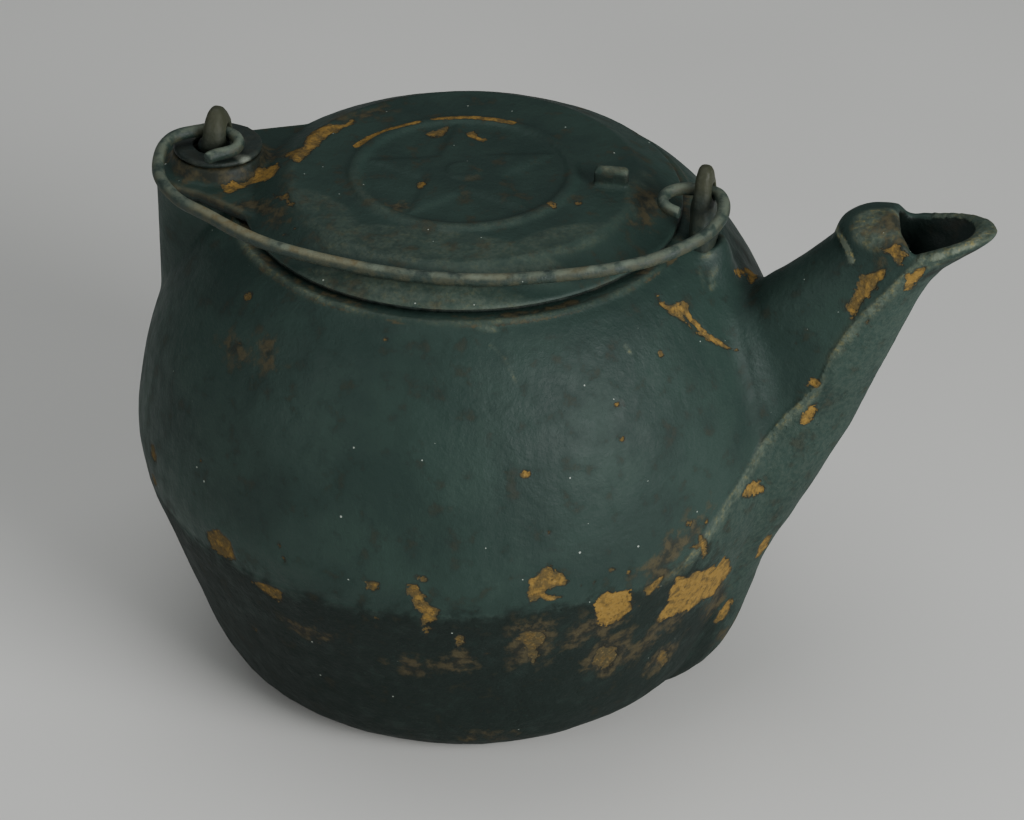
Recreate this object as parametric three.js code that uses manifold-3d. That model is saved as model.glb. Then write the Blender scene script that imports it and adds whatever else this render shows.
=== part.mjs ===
import * as THREE from 'three';
import { mergeVertices } from 'three/addons/utils/BufferGeometryUtils.js';
import Module from 'manifold-3d';

const wasm = await Module();
wasm.setup();

// Lengths are in millimetres. The origin is the middle of the flat bottom, +X runs to the spout
// and +Z is up. A name ending in SHARES holds shares of the sizes named in its comment.

// Bowl
const BELLY_RADIUS = 122.8;
const BODY_HEIGHT = 185;
const WALL = 3.4;
const LEDGE_THICKNESS = 4.5;
const LEDGE_WIDTH = 13;
const LEDGE_SHOW = 2.5;

// Lid
const LID_RADIUS = 80.5;
const LID_EDGE = 3.2;
const LID_WALL = 3.8;
const FLANGE_WIDTH = 15.5;
const FLANGE_SLOPE_DEGREES = 27.7;
const STEP_WIDTH = 1.8;
const STEP_HEIGHT = 0.8;
const CROWN_RISE = 0.5;
const BEAD_RADIUS = 40;
const BEAD_WIDTH = 6;
const BEAD_HEIGHT = 1.3;
const STAR_RADIUS = 36;
const STAR_HEIGHT = 0.9;
const STAR_WAIST_SHARE = 0.4;
const HUB_RADIUS = 6.2;
const HUB_HEIGHT = 1.6;
const TAB_LENGTH = 12.6;
const TAB_THICKNESS = 4.6;
const TAB_HEIGHT = 7.4;
const TAB_REACH = 54.5;
const TAB_TURN_DEGREES = 5;
const LUG_THICKNESS = 4.9;
const LUG_RADIUS = 24;
const LUG_SPREAD_DEGREES = 31;
const NECK_FLARE = 2.2;

// Posts, washer and bail
const POST_OFFSET = 13.2;
const POST_RADIUS = 7.5;
const POST_BOSS_RADIUS = 23;
const POST_ROOT = 9.5;
const PIVOT_PLAY = 1.5;
const EAR_OFFSET = 9.5;
const EAR_WIDTH = 17.9;
const EAR_BOSS_LIP = 0.6;
const EAR_BOSS_FLARE = 6.4;
const EAR_BOSS_DROP = 1.6;
const EAR_ROOT = 9;
const EAR_TOP = 10;
const EAR_THICKNESS = 6.4;
const WASHER_RADIUS = 16.6;
const WASHER_THICKNESS = 2.4;
const WIRE_RADIUS = 2.4;
const BAIL_REST_INSET = 7.95;
const BAIL_DIP_DEGREES = 5.6;
const HOOK_REACH = 18.4;

// Clearances between pieces and the overlap of cutting shapes
const GAP = 0.3;
const HOLE_PLAY = 0.9;
const HOOK_CLEARANCE = 0.5;
const OVERLAP = 1;

// Facets round a whole turn, and steps along the curves
const BOWL_FACETS = 64;
const SPOUT_FACETS = 32;
const POST_FACETS = 28;
const WIRE_FACETS = 10;
const BAIL_STEPS = 80;
const BOWL_STEPS = 22;
const CAVITY_STEPS = 13;
const STAR_ARMS = 5;

// Height and radius of the bowl's outside, as shares of BODY_HEIGHT and BELLY_RADIUS
const BOWL_SHARES = [
  [0, 0.635], [0.006, 0.672], [0.024, 0.716], [0.058, 0.765], [0.119, 0.809], [0.195, 0.85],
  [0.27, 0.89], [0.357, 0.934], [0.424, 0.97], [0.452, 0.983], [0.53, 1], [0.605, 0.989],
  [0.692, 0.964], [0.773, 0.926], [0.843, 0.873], [0.903, 0.818], [0.951, 0.768], [0.978, 0.726],
];

// Heights on the bowl where the two ears' bosses leave it, as shares of BODY_HEIGHT
const POST_BOSS_SHARE = 0.692;
const EAR_BOSS_SHARE = 0.843;

// Heights of the spout's level sections as shares of BODY_HEIGHT, then the places of their back,
// their widest line, their nose and their half width, as shares of BELLY_RADIUS
const SPOUT_SHARES = [
  [0, 0.3257, 0.4886, 0.7085, 0.2524], [0.005946, 0.3257, 0.5049, 0.7451, 0.2687],
  [0.02378, 0.3257, 0.5212, 0.7923, 0.285], [0.05784, 0.342, 0.5537, 0.8331, 0.2932],
  [0.1189, 0.3583, 0.6026, 0.8738, 0.2932], [0.1946, 0.3909, 0.6515, 0.908, 0.285],
  [0.2703, 0.4235, 0.7003, 0.9422, 0.2769], [0.3351, 0.456, 0.7492, 0.9853, 0.2728],
  [0.3892, 0.4886, 0.798, 1.03, 0.2728], [0.4595, 0.5293, 0.8469, 1.085, 0.2728],
  [0.5297, 0.57, 0.8876, 1.136, 0.2565], [0.6054, 0.6189, 0.9487, 1.192, 0.228],
  [0.6811, 0.6515, 1.022, 1.238, 0.1995], [0.7568, 0.7166, 1.099, 1.281, 0.1792],
  [0.827, 0.798, 1.16, 1.325, 0.1653], [0.8865, 0.8713, 1.209, 1.362, 0.1547],
  [0.927, 0.9528, 1.246, 1.388, 0.1482], [0.9676, 1.02, 1.291, 1.421, 0.1433],
  [1.003, 1.075, 1.327, 1.462, 0.142], [1.03, 1.114, 1.36, 1.511, 0.142],
  [1.057, 1.145, 1.388, 1.566, 0.141], [1.076, 1.177, 1.397, 1.599, 0.133],
  [1.09, 1.217, 1.405, 1.609, 0.105], [1.099, 1.27, 1.405, 1.564, 0.055],
];
// How square the sections' noses and backs are: 2 is round, more is square, less is pointed
const SPOUT_NOSE_POWERS = [
  2, 2, 2, 2, 2, 2, 2, 1.9, 1.85, 1.8, 1.7, 1.6,
  1.5, 1.5, 1.5, 1.5, 1.5, 1.5, 1.55, 1.65, 1.8, 2, 2.1, 2.1,
];
const SPOUT_BACK_POWERS = [
  4, 4, 4, 4, 4, 4, 4, 4, 4, 4, 4, 4,
  3.8, 3.4, 3, 2.6, 2.4, 2.2, 2.1, 2, 2, 2, 2, 2,
];
// Walls of the spout at its back, nose and sides, as shares of WALL, and the rows of sections
// that the channel follows before its top one
const SPOUT_INSET_SHARES = [1.3, 1.7, 1.25];
const CHANNEL_ROWS = [4, 21];
const CHANNEL_TOP_SHARES = [1.078, 1.221, 1.393, 1.523, 0.06107];
// Level sections of the mouth hole, in the same shares
const MOUTH_SHARES = [
  [1.022, 1.303, 1.368, 1.454, 0.0975],
  [1.057, 1.344, 1.386, 1.521, 0.104],
  [1.084, 1.352, 1.39, 1.547, 0.107],
  [1.157, 1.352, 1.39, 1.55, 0.107],
];
// Edge of the hood from its top to its foot and line of the rim: X as shares of BELLY_RADIUS,
// Z of BODY_HEIGHT. Seen from above, the hood's edge and the mouth are turned a little.
const HOOD_EDGE_SHARES = [[1.238, 1.146], [1.35, 1.056]];
const RIM_SHARES = [
  [1.409, 1.061], [1.45, 1.069], [1.507, 1.078], [1.555, 1.084], [1.608, 1.084], [1.71, 1.089],
  [1.71, 1.146],
];
const RIM_CUT_SHARE = 0.17;
const HOOD_TURN_DEGREES = 13;
const MOUTH_TURN_DEGREES = 5;

// Bail outline in its own plane: places along the pivot line as shares of half the distance
// between the ears, and distances from that line as shares of the bail's reach
const BAIL_SHARES = [
  [-1.119, 0.049], [-1.154, 0.079], [-1.177, 0.14], [-1.179, 0.241], [-1.158, 0.371],
  [-1.119, 0.477], [-1.069, 0.553], [-1.008, 0.626], [-0.953, 0.668], [-0.905, 0.695],
  [-0.832, 0.745], [-0.758, 0.799], [-0.663, 0.856], [-0.617, 0.88], [-0.528, 0.915],
  [-0.442, 0.939], [-0.358, 0.958], [-0.274, 0.974], [-0.191, 0.988], [-0.108, 0.998], [-0.027, 1],
  [0.052, 0.998], [0.206, 0.981], [0.357, 0.944], [0.503, 0.883], [0.648, 0.811], [0.793, 0.721],
  [0.919, 0.61], [0.995, 0.504], [1.051, 0.412], [1.083, 0.325], [1.102, 0.225], [1.1, 0.129],
  [1.078, 0.047],
];
// Rear and front hook inside the ears, in the same shares
const REAR_HOOK_SHARES = [
  [-0.902, 0.045], [-0.881, 0.110], [-0.899, 0.159], [-0.936, 0.187], [-0.971, 0.215], [-0.986, 0.252],
];
const FRONT_HOOK_SHARES = [
  [0.890, 0.015], [0.856, 0.062], [0.845, 0.126], [0.872, 0.181], [0.909, 0.211], [0.938, 0.217],
];
const STRAIGHT_SHARE = 1.45;

// Heights of an ear's level sections as shares of its rise from foot to tip, then its half
// width as shares of the post's radius or of the ear's own half width, and its half thickness
// as shares of EAR_THICKNESS
const REAR_EAR_SHARES = [
  [0.48, 1.067, 0.86], [0.6, 1.075, 0.78], [0.75, 0.98, 0.7], [0.87, 0.75, 0.56],
  [0.95, 0.495, 0.42], [1, 0.205, 0.22],
];
const FRONT_EAR_SHARES = [
  [0, 1, 0.76], [0.3, 0.97, 0.74], [0.5, 0.894, 0.68], [0.66, 0.73, 0.6], [0.8, 0.6, 0.52],
  [0.9, 0.5, 0.46], [0.97, 0.315, 0.36], [1, 0.143, 0.18],
];
const EAR_ROOT_SHARES = [0.615, 0.44];
// How square the ears' sections are: 2 is round, more is square
const EAR_POWER = 2.8;

// Derived sizes
const radians = THREE.MathUtils.degToRad;
const ledgeRadius = LID_RADIUS + LEDGE_SHOW;
const mouthRadius = ledgeRadius - LEDGE_WIDTH;
const postX = -(LID_RADIUS + POST_OFFSET);
const earX = LID_RADIUS + EAR_OFFSET;
const lidFloor = BODY_HEIGHT + GAP;
const edgeTop = lidFloor + LID_EDGE;
const flangeSlope = Math.tan(radians(FLANGE_SLOPE_DEGREES));
const flangeInner = LID_RADIUS - FLANGE_WIDTH;
const flangeTop = edgeTop + FLANGE_WIDTH * flangeSlope;
const crownTop = flangeTop + STEP_HEIGHT + CROWN_RISE;
const lugTop = lidFloor + LUG_THICKNESS;
const bailDip = radians(BAIL_DIP_DEGREES);
const bailReach = (LID_RADIUS - BAIL_REST_INSET) / Math.cos(bailDip);
const restOffset = (WIRE_RADIUS + GAP) / Math.cos(radians(FLANGE_SLOPE_DEGREES));
const restHeight = edgeTop + BAIL_REST_INSET * flangeSlope + restOffset;
const pivotHeight = restHeight + bailReach * Math.sin(bailDip);
const earTip = pivotHeight + EAR_TOP;
const hookFloor = pivotHeight - HOOK_REACH * Math.sin(bailDip) - WIRE_RADIUS;
const washerTop = hookFloor - HOOK_CLEARANCE;
const washerFloor = washerTop - WASHER_THICKNESS;
const neckTop = washerFloor - GAP;
const pivotHoleRadius = POST_RADIUS + PIVOT_PLAY;
const earFoot = BODY_HEIGHT - EAR_BOSS_DROP + GAP;
const earBossRadius = EAR_WIDTH / 2 + EAR_BOSS_LIP;

// Turns points and faces into a solid whose faces look outward
function solidFrom(points, faces) {
  const at = (i) => new THREE.Vector3(points[i * 3], points[i * 3 + 1], points[i * 3 + 2]);
  let volume = 0;
  for (let i = 0; i < faces.length; i += 3) {
    volume += at(faces[i]).dot(at(faces[i + 1]).cross(at(faces[i + 2])));
  }
  if (volume < 0) {
    for (let i = 0; i < faces.length; i += 3) [faces[i], faces[i + 1]] = [faces[i + 1], faces[i]];
  }
  const mesh = new wasm.Mesh({
    numProp: 3,
    vertProperties: new Float32Array(points),
    triVerts: new Uint32Array(faces),
  });
  return new wasm.Manifold(mesh);
}

// Solid from a closed geometry: its corners are merged and its faces without area dropped
function weld(geometry) {
  geometry.deleteAttribute('normal');
  geometry.deleteAttribute('uv');
  const merged = mergeVertices(geometry);
  const faces = [];
  for (let i = 0; i < merged.index.count; i += 3) {
    const face = [i, i + 1, i + 2].map((k) => merged.index.getX(k));
    if (new Set(face).size === face.length) faces.push(...face);
  }
  return solidFrom([...merged.attributes.position.array], faces);
}

// Solid through level rings that all have the same number of points
function loft(rings) {
  const count = rings[0].length;
  const points = rings.flat(2);
  const faces = [];
  for (let i = 0; i + 1 < rings.length; i += 1) {
    for (let j = 0; j < count; j += 1) {
      const a = i * count + j;
      const b = i * count + ((j + 1) % count);
      faces.push(a, b, b + count, a, b + count, a + count);
    }
  }
  [rings[0], rings.at(-1)].forEach((ring, top) => {
    const start = top * (rings.length - 1) * count;
    const centre = points.length / 3;
    points.push(...[0, 1, 2].map((k) => ring.reduce((sum, p) => sum + p[k] / count, 0)));
    for (let j = 0; j < count; j += 1) {
      const edge = [start + j, start + ((j + 1) % count)];
      if (top === 0) edge.reverse();
      faces.push(centre, ...edge);
    }
  });
  return solidFrom(points, faces);
}

// Upright cone or cylinder
function cone(x, floor, top, radiusBelow, radiusAbove, facets) {
  const geometry = new THREE.CylinderGeometry(radiusAbove, radiusBelow, top - floor, facets);
  geometry.rotateX(Math.PI / 2);
  geometry.translate(x, 0, (floor + top) / 2);
  return weld(geometry);
}

function cylinder(x, floor, top, radius, facets) {
  return cone(x, floor, top, radius, radius, facets);
}

// Turned solid from [radius, height] pairs, closed by flat discs at its ends
function turned(profile, facets, x = 0) {
  const closed = [[0, profile[0][1]], ...profile, [0, profile.at(-1)[1]]];
  const geometry = new THREE.LatheGeometry(
    closed.map(([radius, height]) => new THREE.Vector2(radius, height)),
    facets,
  );
  geometry.rotateX(Math.PI / 2);
  geometry.translate(x, 0, 0);
  return weld(geometry);
}

// Level plate from a shape, between two heights
function plate(shape, floor, top) {
  const geometry = new THREE.ExtrudeGeometry(shape, {
    depth: top - floor,
    bevelEnabled: false,
    curveSegments: POST_FACETS / 4,
  });
  geometry.translate(0, 0, floor);
  return weld(geometry);
}

function circle(x, z, radius, facets) {
  return Array.from({ length: facets }, (unused, j) => {
    const turn = (2 * Math.PI * j) / facets;
    return [x + radius * Math.cos(turn), radius * Math.sin(turn), z];
  });
}

// Egg-shaped level ring: a pointed nose to +X and a rounder back to -X
function egg(back, widest, nose, halfWidth, height, nosePower, backPower) {
  const ring = [];
  for (let j = 0; j < SPOUT_FACETS; j += 1) {
    const turn = (2 * Math.PI * j) / SPOUT_FACETS;
    const c = Math.cos(turn);
    const s = Math.sin(turn);
    const power = c >= 0 ? nosePower : backPower;
    const reach = c >= 0 ? nose - widest : widest - back;
    const x = widest + Math.sign(c) * reach * Math.abs(c) ** (2 / power);
    ring.push([x, Math.sign(s) * halfWidth * Math.abs(s) ** (2 / power), height]);
  }
  return ring;
}

// Rounded-off rectangle as a level ring about a vertical line
function roundedSquare(x, height, halfThickness, halfWidth) {
  const ring = [];
  for (let j = 0; j < POST_FACETS; j += 1) {
    const turn = (2 * Math.PI * j) / POST_FACETS;
    const c = Math.cos(turn);
    const s = Math.sin(turn);
    const across = Math.sign(s) * halfWidth * Math.abs(s) ** (2 / EAR_POWER);
    ring.push([x + Math.sign(c) * halfThickness * Math.abs(c) ** (2 / EAR_POWER), across, height]);
  }
  return ring;
}

// Bowl profile as [radius, height] pairs along a smooth curve
function bowlCurve(steps) {
  const knots = BOWL_SHARES.map(([high, wide]) => (
    new THREE.Vector3(BELLY_RADIUS * wide, BODY_HEIGHT * high, 0)
  ));
  const curve = new THREE.CatmullRomCurve3(knots, false, 'centripetal');
  return Array.from({ length: steps + 1 }, (unused, i) => {
    const u = i / steps;
    const p = curve.getPointAt(u);
    const t = curve.getTangentAt(u);
    return { radius: p.x, height: p.y, out: [t.y, -t.x] };
  });
}

function buildBowlOutside() {
  const profile = bowlCurve(BOWL_STEPS).map((p) => [p.radius, p.height]);
  profile.push([ledgeRadius, BODY_HEIGHT]);
  return turned(profile, BOWL_FACETS);
}

function buildBowlInside() {
  const ceiling = BODY_HEIGHT - LEDGE_THICKNESS;
  const profile = [];
  bowlCurve(CAVITY_STEPS).forEach((p) => {
    const radius = p.radius - WALL * p.out[0];
    const height = p.height - WALL * p.out[1];
    const inRange = height > WALL && height < ceiling && radius > mouthRadius;
    if (inRange) profile.push([radius, height]);
  });
  profile.unshift([profile[0][0] - WALL, WALL]);
  profile.push([mouthRadius, ceiling], [mouthRadius, BODY_HEIGHT + OVERLAP]);
  return turned(profile, BOWL_FACETS);
}

function spoutRing(shares, insets, nosePower, backPower) {
  const [high, back, widest, nose, half] = shares;
  return egg(
    BELLY_RADIUS * back + insets[0],
    BELLY_RADIUS * widest,
    BELLY_RADIUS * nose - insets[1],
    BELLY_RADIUS * half - insets[2],
    BODY_HEIGHT * high,
    nosePower,
    backPower,
  );
}

function spoutRings(from, to, insets) {
  const rings = [];
  for (let i = from; i < to; i += 1) {
    rings.push(spoutRing(SPOUT_SHARES[i], insets, SPOUT_NOSE_POWERS[i], SPOUT_BACK_POWERS[i]));
  }
  return rings;
}

function buildSpoutOutside() {
  return loft(spoutRings(0, SPOUT_SHARES.length, [0, 0, 0]));
}

function buildSpoutInside() {
  const insets = SPOUT_INSET_SHARES.map((share) => share * WALL);
  const rings = spoutRings(CHANNEL_ROWS[0], CHANNEL_ROWS[1], insets);
  rings.push(spoutRing(CHANNEL_TOP_SHARES, [0, 0, 0], 2, 2));
  const mouth = loft(MOUTH_SHARES.map((row) => spoutRing(row, [0, 0, 0], 2, 2)));
  const back = BELLY_RADIUS * MOUTH_SHARES.at(-1)[1];
  const turnedMouth = mouth
    .translate([-back, 0, 0])
    .rotate([0, 0, MOUTH_TURN_DEGREES])
    .translate([back, 0, 0]);
  return loft(rings).add(turnedMouth);
}

function buildRimCut() {
  const half = BELLY_RADIUS * RIM_CUT_SHARE;
  const lean = Math.tan(radians(HOOD_TURN_DEGREES));
  const point = ([along, high], y, shift) => [
    BELLY_RADIUS * along - shift,
    y,
    BODY_HEIGHT * high,
  ];
  const outline = (y) => [
    ...HOOD_EDGE_SHARES.map((p) => point(p, y, y * lean)),
    ...RIM_SHARES.map((p) => point(p, y, 0)),
  ];
  return loft([outline(-half), outline(half)]);
}

// Ear through level rings, with the hole for the bail along X
function buildEar(x, rings) {
  const hole = WIRE_RADIUS + HOLE_PLAY;
  const bore = new THREE.CylinderGeometry(hole, hole, 2 * EAR_THICKNESS, POST_FACETS);
  bore.rotateZ(Math.PI / 2);
  bore.translate(x, 0, pivotHeight);
  return loft(rings).subtract(weld(bore));
}

function earRings(x, foot, halfWidth, shares) {
  return shares.map(([high, wide, deep]) => roundedSquare(
    x,
    foot + (earTip - foot) * high,
    EAR_THICKNESS * deep,
    halfWidth * wide,
  ));
}

// Rear ear, or with some room round it the cutter for its socket
function buildRearEar(room) {
  const radius = POST_RADIUS + room;
  const root = BODY_HEIGHT - POST_ROOT - room;
  const stem = [root, washerTop].map((z) => circle(postX, z, radius, POST_FACETS));
  if (room > 0) return loft(stem);
  return buildEar(postX, [...stem, ...earRings(postX, BODY_HEIGHT, POST_RADIUS, REAR_EAR_SHARES)]);
}

// Front ear, or with some room round it the cutter for its socket
function buildFrontEar(room) {
  const root = earFoot - EAR_ROOT - room;
  const halfWidth = EAR_WIDTH / 2;
  const [wide, deep] = EAR_ROOT_SHARES;
  const tang = [root, earFoot].map((z) => roundedSquare(
    earX,
    z,
    EAR_THICKNESS * deep + room,
    halfWidth * wide + room,
  ));
  if (room > 0) return loft(tang);
  return buildEar(earX, [...tang, ...earRings(earX, earFoot, halfWidth, FRONT_EAR_SHARES)]);
}

function buildBody() {
  const postBossFloor = BODY_HEIGHT * POST_BOSS_SHARE;
  const postBoss = cylinder(postX, postBossFloor, BODY_HEIGHT, POST_BOSS_RADIUS, BOWL_FACETS);
  const earBoss = cone(
    earX,
    BODY_HEIGHT * EAR_BOSS_SHARE,
    BODY_HEIGHT - EAR_BOSS_DROP,
    earBossRadius + EAR_BOSS_FLARE,
    earBossRadius,
    POST_FACETS,
  );
  const outside = buildBowlOutside().add(buildSpoutOutside()).add(postBoss).add(earBoss);

  const hollowTop = BODY_HEIGHT - POST_ROOT - WALL - GAP;
  const hollowRadius = POST_BOSS_RADIUS - WALL;
  const hollow = cylinder(postX, postBossFloor, hollowTop, hollowRadius, POST_FACETS);
  const padFloor = earFoot - EAR_ROOT - WALL;
  const pad = cylinder(earX, padFloor, BODY_HEIGHT, earBossRadius, POST_FACETS);
  const inside = buildBowlInside().subtract(pad);

  return outside
    .subtract(inside.add(buildSpoutInside()).add(hollow))
    .subtract(buildRimCut())
    .subtract(buildRearEar(GAP))
    .subtract(buildFrontEar(GAP));
}

// Star with one arm toward the rear post
function starShape() {
  const points = Array.from({ length: 2 * STAR_ARMS }, (unused, i) => {
    const radius = i % 2 === 0 ? STAR_RADIUS : STAR_RADIUS * STAR_WAIST_SHARE;
    const turn = Math.PI + (Math.PI * i) / STAR_ARMS;
    return new THREE.Vector2(radius * Math.cos(turn), radius * Math.sin(turn));
  });
  return new THREE.Shape(points);
}

function buildLidDisc() {
  const crownEdge = flangeInner - STEP_WIDTH;
  const half = BEAD_WIDTH / 2;
  const outside = turned([
    [LID_RADIUS, lidFloor],
    [LID_RADIUS, edgeTop],
    [flangeInner, flangeTop],
    [crownEdge, flangeTop + STEP_HEIGHT],
    [BEAD_RADIUS + half, crownTop],
    [BEAD_RADIUS + half / 2, crownTop + BEAD_HEIGHT],
    [BEAD_RADIUS - half / 2, crownTop + BEAD_HEIGHT],
    [BEAD_RADIUS - half, crownTop],
  ], BOWL_FACETS);
  const inner = LID_RADIUS - LEDGE_WIDTH;
  const inside = turned([
    [inner, lidFloor - OVERLAP],
    [inner, edgeTop - LID_WALL / 2],
    [flangeInner - LID_WALL, flangeTop - LID_WALL],
    [BEAD_RADIUS, crownTop - LID_WALL],
  ], BOWL_FACETS);
  return outside.subtract(inside);
}

// Tapering lug from the lid's edge to a round end about the rear post, with its neck
function buildLug() {
  const spread = radians(LUG_SPREAD_DEGREES);
  const meet = LID_RADIUS - LUG_THICKNESS;
  const shape = new THREE.Shape();
  shape.moveTo(-meet * Math.cos(spread), meet * Math.sin(spread));
  shape.lineTo(postX, LUG_RADIUS);
  shape.absarc(postX, 0, LUG_RADIUS, Math.PI / 2, -Math.PI / 2, false);
  shape.lineTo(-meet * Math.cos(spread), -meet * Math.sin(spread));
  const foot = WASHER_RADIUS + NECK_FLARE;
  const neck = turned([[foot, lidFloor], [foot, lugTop], [WASHER_RADIUS, neckTop]], POST_FACETS, postX);
  return plate(shape, lidFloor, lugTop).add(neck);
}

function buildFingerTab() {
  const turn = radians(TAB_TURN_DEGREES);
  const half = TAB_LENGTH / 2;
  const side = TAB_THICKNESS / 2;
  const corner = side / 2;
  const outline = [
    [-half, -side], [half, -side], [half, side], [-half, side],
  ];
  const place = (inset) => ([along, across], z) => {
    const x = TAB_REACH + along - Math.sign(along) * inset;
    const y = across - Math.sign(across) * inset;
    return [x * Math.cos(turn) - y * Math.sin(turn), x * Math.sin(turn) + y * Math.cos(turn), z];
  };
  const tabTop = crownTop + TAB_HEIGHT;
  return loft([
    outline.map((p) => place(0)(p, crownTop - LID_WALL / 2)),
    outline.map((p) => place(0)(p, tabTop - corner)),
    outline.map((p) => place(corner)(p, tabTop)),
  ]);
}

function buildLid() {
  const within = crownTop - LID_WALL / 2;
  const star = plate(starShape(), within, crownTop + STAR_HEIGHT);
  const hub = cylinder(0, within, crownTop + HUB_HEIGHT, HUB_RADIUS, POST_FACETS);
  const bore = cylinder(postX, lidFloor - OVERLAP, neckTop + OVERLAP, pivotHoleRadius, POST_FACETS);
  return buildLidDisc()
    .add(buildLug())
    .add(star)
    .add(hub)
    .add(buildFingerTab())
    .subtract(bore);
}

function buildWasher() {
  const corner = WASHER_THICKNESS / 3;
  const disc = turned([
    [WASHER_RADIUS - corner, washerFloor],
    [WASHER_RADIUS, washerFloor + corner],
    [WASHER_RADIUS, washerTop - corner],
    [WASHER_RADIUS - corner, washerTop],
  ], POST_FACETS, postX);
  const floor = washerFloor - OVERLAP;
  return disc.subtract(cylinder(postX, floor, washerTop + OVERLAP, pivotHoleRadius, POST_FACETS));
}

// One round wire from hook to hook, in a plane that dips from the pivot line to -Y
function buildBail() {
  const middle = (postX + earX) / 2;
  const halfSpan = (earX - postX) / 2;
  const place = (along, out) => new THREE.Vector3(
    along,
    -out * Math.cos(bailDip),
    pivotHeight - out * Math.sin(bailDip),
  );
  const knot = ([along, out]) => place(middle + halfSpan * along, bailReach * out);
  const straight = (EAR_THICKNESS / 2) * STRAIGHT_SHARE;
  const knots = [
    ...REAR_HOOK_SHARES.map(knot).reverse(),
    place(postX + straight, 0),
    place(postX, 0),
    place(postX - straight, 0),
    ...BAIL_SHARES.map(knot),
    place(earX + straight, 0),
    place(earX, 0),
    place(earX - straight, 0),
    ...FRONT_HOOK_SHARES.map(knot),
  ];
  const section = new THREE.Shape().absarc(0, 0, WIRE_RADIUS, 0, 2 * Math.PI, false);
  return weld(new THREE.ExtrudeGeometry(section, {
    steps: BAIL_STEPS,
    curveSegments: WIRE_FACETS / 2,
    extrudePath: new THREE.CatmullRomCurve3(knots, false, 'centripetal'),
  }));
}

function toMesh(name, solid, colour, roughness, metalness) {
  const data = solid.getMesh();
  const geometry = new THREE.BufferGeometry();
  geometry.setAttribute('position', new THREE.BufferAttribute(data.vertProperties, 3));
  geometry.setIndex(new THREE.BufferAttribute(data.triVerts, 1));
  geometry.computeVertexNormals();
  const material = new THREE.MeshStandardMaterial({ color: colour, roughness, metalness });
  const mesh = new THREE.Mesh(geometry, material);
  mesh.name = name;
  return mesh;
}

const kettle = new THREE.Group();
kettle.name = 'cast_iron_tea_kettle';
kettle.add(toMesh('kettle_body', buildBody(), 0x2a3230, 0.72, 0.25));
kettle.add(toMesh('rear_ear', buildRearEar(0), 0x5a4632, 0.8, 0.35));
kettle.add(toMesh('front_ear', buildFrontEar(0), 0x54452f, 0.8, 0.35));
kettle.add(toMesh('lid', buildLid(), 0x2c3432, 0.7, 0.25));
kettle.add(toMesh('pivot_washer', buildWasher(), 0x3b3f3b, 0.65, 0.4));
kettle.add(toMesh('bail', buildBail(), 0x3c403a, 0.6, 0.5));

export default kettle;
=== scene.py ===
"""Looks of the cast iron tea kettle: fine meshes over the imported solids, their finishes and a studio."""

import itertools
import math
import random

import bmesh
import bpy
import numpy as np
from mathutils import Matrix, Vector
from mathutils.bvhtree import BVHTree


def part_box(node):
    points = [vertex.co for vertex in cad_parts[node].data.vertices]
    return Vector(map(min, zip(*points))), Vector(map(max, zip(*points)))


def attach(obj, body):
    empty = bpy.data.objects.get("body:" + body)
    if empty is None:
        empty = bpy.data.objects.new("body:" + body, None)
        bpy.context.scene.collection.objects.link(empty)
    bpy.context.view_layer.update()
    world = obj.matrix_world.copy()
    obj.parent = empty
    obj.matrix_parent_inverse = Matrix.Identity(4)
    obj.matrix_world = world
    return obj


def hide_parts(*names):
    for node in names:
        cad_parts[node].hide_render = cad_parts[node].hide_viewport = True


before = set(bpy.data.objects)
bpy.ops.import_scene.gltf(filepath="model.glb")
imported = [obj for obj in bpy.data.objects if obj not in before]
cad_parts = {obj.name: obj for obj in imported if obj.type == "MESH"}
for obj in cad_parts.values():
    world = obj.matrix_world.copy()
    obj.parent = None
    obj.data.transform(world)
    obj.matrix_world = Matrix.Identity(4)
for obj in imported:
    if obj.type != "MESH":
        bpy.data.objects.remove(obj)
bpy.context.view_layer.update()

MM = 0.001

# Camera: the turn round the kettle, the height above the horizon, the focal length and the
# sensor's width in millimetres, and the point that it looks at
CAMERA_AZIMUTH = 14.0
CAMERA_ELEVATION = 32.1
CAMERA_DISTANCE = 1.8
CAMERA_LENS = 168.55
SENSOR_WIDTH = 36
CAMERA_TARGET = Vector((18.28, 0, 98.4)) * MM

# Size of the photo, in whose pixels the chips that it shows are given
PHOTO_WIDTH = 1024
PHOTO_HEIGHT = 820

# Places of the kettle that its solids give
LID_LOW, LID_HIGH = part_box("lid")
POST_LOW, POST_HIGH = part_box("rear_ear")
EAR_LOW, EAR_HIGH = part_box("front_ear")
LID_RADIUS = LID_HIGH.x
LEDGE_TOP = LID_LOW.z
POST_X = (POST_LOW.x + POST_HIGH.x) / 2
EAR_X = (EAR_LOW.x + EAR_HIGH.x) / 2
EAR_FOOT = LEDGE_TOP - 1.6 * MM

# Middle of the lid's finger tab
TAB_X = 54.3 * MM
TAB_Y = 4.8 * MM

# Facets round the turned solids, which the fine meshes round off
TURNED_FACETS = 64

# Radius up to which the bowl is turned, and the one where the rounding off has ended
TURNED_REACH = 124 * MM
TURNED_END = 127 * MM

# Radius in millimetres of the ring from which scattered chips are put on the nearest surface
SCATTER_RADIUS = 122

# Depth of a chip, in millimetres, where there is none, and a length beyond any on the kettle
NO_CHIP = -9.0
FAR = 1e9

# Cell sizes of the fine meshes
BODY_VOXEL = 0.95 * MM
LID_VOXEL = 0.55 * MM
SMALL_VOXEL = 0.4 * MM


def link(obj):
    bpy.context.scene.collection.objects.link(obj)
    return obj


def camera_directions():
    """The camera's directions to its right, up and back."""
    turn, lift = math.radians(CAMERA_AZIMUTH), math.radians(CAMERA_ELEVATION)
    right = Vector((math.cos(turn), math.sin(turn), 0))
    back = Vector((math.sin(turn) * math.cos(lift), -math.cos(turn) * math.cos(lift), math.sin(lift)))
    return right, back.cross(right), back


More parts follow.
